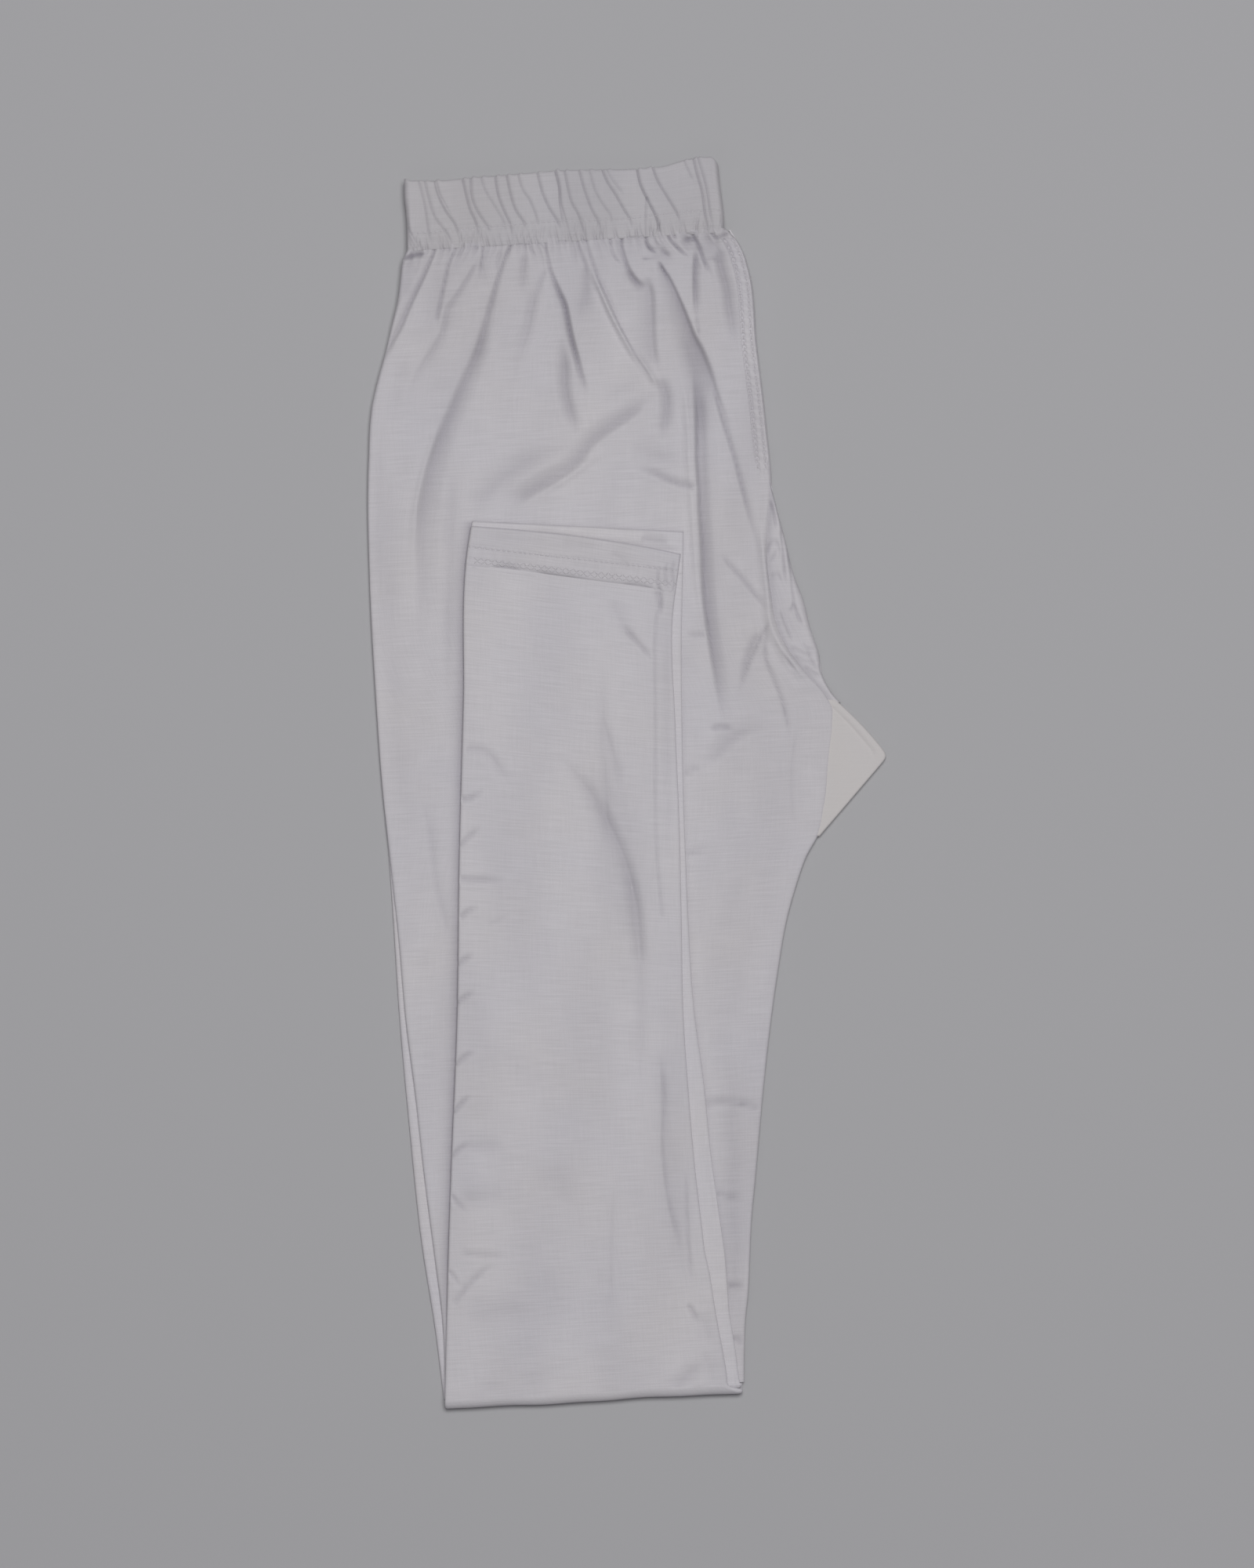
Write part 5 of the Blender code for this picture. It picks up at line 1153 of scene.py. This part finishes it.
def casing(name, z_face, z_back, side_drop=0.0, lower_by=0.0, inset=0.0, relief=None, shade=None,
           columns=120, rows=24):
    """One flat casing: its rows start inside, go round the top edge, over the face and round the
    foot to the inside again. Its two ends roll towards the next casing by side_drop."""
    # Rows: distance back from the top edge, share of the face, and the side (1 face, -1 back)
    top_rows, foot_rows = np.linspace(0, np.pi, 11), np.linspace(0, np.pi / 2, 5)
    from_top = np.concatenate([[9, 5, 2.5], CASING_ROUND * (1 - np.sin(top_rows))])[:, None]
    face_share = np.linspace(0, 1, rows)[1:-1, None]
    side = np.concatenate([
        -np.ones(3), -np.cos(top_rows), np.ones(rows - 2), np.cos(foot_rows), [-0.2]])[:, None]

    # Columns: a strip back inside, the round of one end, the flat, and the same at the other end
    turn = np.linspace(0, np.pi / 2, 11)
    left_x = through(BAND_LEFT, np.array([262.0]))[0] + inset
    right_x = BAND_RIGHT - inset
    lean = np.linspace(0, 1, columns)[1:-1]
    end_x = CASING_ROLL * (1 - np.cos(turn))
    flat_x = left_x + CASING_ROLL + lean * (right_x - left_x - 2 * CASING_ROLL)
    line = np.concatenate([left_x + end_x, flat_x, right_x - end_x[::-1]])
    strip = np.array([8, 5, 2.5])
    line = np.concatenate([line[0] + strip, line, line[-1] - strip[::-1]])
    end_drop = np.concatenate([np.ones(3), 1 - np.sin(turn)])
    drop = np.concatenate([end_drop, np.zeros(len(lean)), end_drop[::-1]])

    # The foot follows the waist seam, and the top edge falls off round the right corner
    foot_left, foot_length = BAND_FOOT
    corner_x, corner_width, corner_height = BAND_CORNER
    seam = WAIST_SEAM[0] + (line - foot_left) / foot_length * (WAIST_SEAM[1] - WAIST_SEAM[0])
    corner = corner_height * quarter_round((line - corner_x + inset) / corner_width)
    top = through(BAND_TOP, line) - lower_by - corner
    y = np.concatenate([
        top - from_top,
        top - CASING_ROUND - face_share * (top - seam - CASING_ROUND - CASING_FOOT),
        seam + CASING_FOOT - CASING_FOOT * np.sin(foot_rows)[:, None], seam[None]])
    shape_x = np.repeat(line[None], len(y), axis=0)
    bulge = (through(BAND_LEFT, y) - left_x + inset) * ease((10 - (shape_x - left_x)) / 10)
    taper = 2.8 * ease((y - 266) / 32) * ease((10 - (right_x - shape_x)) / 10)
    x = shape_x + bulge - taper
    z = (z_face + z_back) / 2 - side_drop * drop + (z_face - z_back) / 2 * side * (1 - 0.55 * drop)
    if relief:
        bump = relief(x, y) * (1 - drop)
        z = z + bump * np.maximum(side, 0)
        # The cloth bulges over the top edge beside each pleat
        below_top = np.zeros(len(y) - len(from_top))
        past_top = np.concatenate([np.zeros(3), np.sin(top_rows), below_top])[:, None]
        bulges = sum(0.55 * np.exp(-((shape_x - pleat[0][0] - 1.5) / 1.2) ** 2)
                     for depth, pleat in PLEATS)
        y = y + past_top * (bump + bulges)
    # Painted shade on the casing's face
    dark = shade(x, y) * (1 - drop) * np.maximum(side, 0) if shade else None
    return cloth_mesh(name, np.stack([x, y, z], axis=2), casing_cotton, painted_shade=dark)


# The casing's cotton is the leg's, given a darker white as painted shade of the gathered band
CASING_SHADED_WHITE = (0.612, 0.600, 0.615)
casing_cotton = woven_cotton("casing_cotton", CASING_SHADED_WHITE, slub=0.17, bump=0.4)
band_upper = casing(
    "waistband_upper_cloth", BAND_HEIGHT, BAND_HEIGHT - CASING, side_drop=3.3,
    relief=band_relief, shade=band_painted_shade, columns=620, rows=92)
band_lower = casing("waistband_lower_cloth", 0.0, CASING, side_drop=-3.3)
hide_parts("waistband_upper")
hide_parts("waistband_lower")
inner_band = [
    casing("inner_casing", 9.9, 6.7, lower_by=1.2, inset=2.2),
    casing("inner_casing", 6.3, 3.1, lower_by=1.5, inset=2.4)]
with bpy.context.temp_override(active_object=inner_band[0], selected_editable_objects=inner_band):
    bpy.ops.object.join()
band_inner = inner_band[0]
band_inner.name = "waistband_inner_cloth"
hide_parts("waistband_inner")
for piece in (band_upper, band_lower, band_inner):
    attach(piece, "root")


# All the sewing: lines of white thread, each stitch a small rounded rod pressed into the cloth.

sewing_thread = bpy.data.materials.new("thread")
sewing_thread.use_nodes = True
thread_nodes, thread_links = sewing_thread.node_tree.nodes, sewing_thread.node_tree.links
thread_shader = thread_nodes["Principled BSDF"]
twist = thread_nodes.new("ShaderNodeTexWave")
twist.inputs["Scale"].default_value = 900.0
twist.inputs["Distortion"].default_value = 1.5
place = thread_nodes.new("ShaderNodeTexCoord")
thread_links.new(place.outputs["Object"], twist.inputs["Vector"])
tint = thread_nodes.new("ShaderNodeValToRGB")
tint.color_ramp.elements[0].color = (0.55, 0.53, 0.56, 1)
tint.color_ramp.elements[1].color = (0.80, 0.78, 0.80, 1)
thread_links.new(twist.outputs["Fac"], tint.inputs["Fac"])
thread_links.new(tint.outputs["Color"], thread_shader.inputs["Base Color"])
thread_shader.inputs["Roughness"].default_value = 0.6
THREAD_RADIUS = 0.19


def stitch_row(name, path, face, pitch, length, sway=0.0):
    """A rod for every pitch of the path, laid on the face. Each rod: six rings of six points, as
    thick as the thread between its ends and closing there, so its ends are round. With a sway its
    ends lie on the two sides of the path, by turns, as in a zigzag."""
    fine = smooth_path(path, 600)
    travelled = np.concatenate([[0], np.cumsum(np.hypot(*np.diff(fine, axis=0).T))])
    middles = np.arange(pitch / 2, travelled[-1], pitch)
    along = np.array([-0.5, -0.42, -0.2, 0.2, 0.42, 0.5])
    swell = np.array([0.05, 0.75, 1.0, 1.0, 0.75, 0.05])
    at = middles[:, None] + along * length
    x = np.interp(at, travelled, fine[:, 0])
    y = np.interp(at, travelled, fine[:, 1])
    if sway:
        y = y + sway * np.where(np.arange(len(middles)) % 2, 1, -1)[:, None] * along
    z = face(x, y) + 0.03 + 0.1 * swell
    run = np.stack([x[:, -1] - x[:, 0], y[:, -1] - y[:, 0]], axis=1)
    run = run / np.linalg.norm(run, axis=1)[:, None]
    angle = np.arange(6) * np.pi / 3
    ring = THREAD_RADIUS * swell[None, :, None]
    px = x[..., None] - run[:, 1, None, None] * ring * np.cos(angle)
    py = y[..., None] + run[:, 0, None, None] * ring * np.cos(angle)
    pz = z[..., None] + ring * np.sin(angle)
    points = np.stack([px, py, pz], axis=-1)
    index = np.arange(px.size).reshape(px.shape)
    further = np.roll(index, -1, axis=2)
    corners = (index[:, :-1], further[:, :-1], further[:, 1:], index[:, 1:])
    quads = np.stack(corners, axis=-1).reshape(-1, 4)
    caps = np.concatenate([index[:, 0, ::-1], index[:, -1]])
    mesh = bpy.data.meshes.new(name)
    mesh.from_pydata((points.reshape(-1, 3) * MM).tolist(), [], quads.tolist() + caps.tolist())
    mesh.shade_smooth()
    mesh.materials.append(sewing_thread)
    piece = bpy.data.objects.new(name, mesh)
    bpy.context.scene.collection.objects.link(piece)
    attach(piece, "root")


def band_face(x, y):
    """Outer face of the visible casing."""
    return BAND_HEIGHT + band_relief(x, y)


def seam_face(x, y):
    """Face of the felled seam strip above its turn."""
    return thigh_top(x, y) + 0.45


def hem_line(row, further):
    """Points of one of the visible hem's stitch rows, moved further from its end line."""
    share = np.linspace(0.01, 0.98, 12)
    end = LOWER_HEM[0] + share * (LOWER_HEM[1] - LOWER_HEM[0])
    x = HEM_LEFT + HEM_WIDTH * share
    return np.stack([x, end - row[0] - share * row[1] - further], axis=1)


casing_x = np.linspace(-103, 44, 16)
casing_path = np.stack([casing_x, through(CASING_ROW, casing_x)], axis=1)
stitch_row("casing_stitches", casing_path, band_face, pitch=2.7, length=1.9)
stitch_row(
    "hem_stitches", hem_line(HEM_ROWS[0], 0.0), upper_hem_face,
    pitch=HEM_PITCH, length=1.9)
for name, further, sway in (("hem_foot_stitches", -0.7, 1.3), ("hem_edge_stitches", 0.9, -1.3)):
    stitch_row(
        name, hem_line(HEM_ROWS[1], further), upper_hem_face,
        pitch=1.7, length=1.5, sway=sway)
row_y = np.linspace(258, 150, 20)
for name, inset in zip(("seam_stitches", "seam_edge_stitches"), SEAM_ROWS):
    seam_path = np.stack([through(UPPER_RIGHT, row_y) - inset, row_y], axis=1)
    stitch_row(name, seam_path, seam_face, pitch=SEAM_PITCH, length=2.0)


# Plain studio: a pale table, a soft key light nearly overhead on the waist's side, a faint wide
# fill from the lower left and a soft sky, with the camera on a copy stand straight above.

table_mesh = bpy.data.meshes.new("table")
table_corners = [(-3, -3, -0.0003), (3, -3, -0.0003), (3, 3, -0.0003), (-3, 3, -0.0003)]
table_mesh.from_pydata(table_corners, [], [(0, 1, 2, 3)])
table = bpy.data.objects.new("table", table_mesh)
bpy.context.scene.collection.objects.link(table)
table_paint = bpy.data.materials.new("table_paint")
table_paint.use_nodes = True
table_shader = table_paint.node_tree.nodes["Principled BSDF"]
table_shader.inputs["Base Color"].default_value = (0.52, 0.52, 0.53, 1)
table_shader.inputs["Roughness"].default_value = 0.9
table_mesh.materials.append(table_paint)

sky = bpy.data.worlds.new("sky")
sky.use_nodes = True
sky_light = sky.node_tree.nodes["Background"]
sky_light.inputs["Color"].default_value = (0.95, 0.92, 1.0, 1)
sky_light.inputs["Strength"].default_value = 0.14
bpy.context.scene.world = sky

LIGHT = ("name", "place", "size", "watts")
LIGHTS = (
    ("key_softbox", (0.15, 0.5, 2.7), 0.9, 40.0),
    ("fill_softbox", (-0.9, -1.2, 2.2), 1.4, 1.5))
for row in LIGHTS:
    softbox = dict(zip(LIGHT, row))
    lamp = bpy.data.lights.new(softbox["name"], "AREA")
    lamp.shape = "SQUARE"
    lamp.size = softbox["size"]
    lamp.energy = softbox["watts"]
    holder = bpy.data.objects.new(softbox["name"], lamp)
    holder.location = softbox["place"]
    holder.rotation_euler = holder.location.to_track_quat("Z", "Y").to_euler()
    bpy.context.scene.collection.objects.link(holder)

PHOTO_HEIGHT = 0.750
CAMERA_HEIGHT = 3.0
SENSOR = 36.0
camera = bpy.data.cameras.new("copy_stand_camera")
camera.type = "PERSP"
camera.sensor_width = SENSOR
camera.lens = SENSOR * CAMERA_HEIGHT / PHOTO_HEIGHT
stand = bpy.data.objects.new("copy_stand_camera", camera)
stand.location = (0, 0, CAMERA_HEIGHT)
bpy.context.scene.collection.objects.link(stand)
bpy.context.scene.camera = stand
bpy.context.scene.view_settings.view_transform = "Standard"
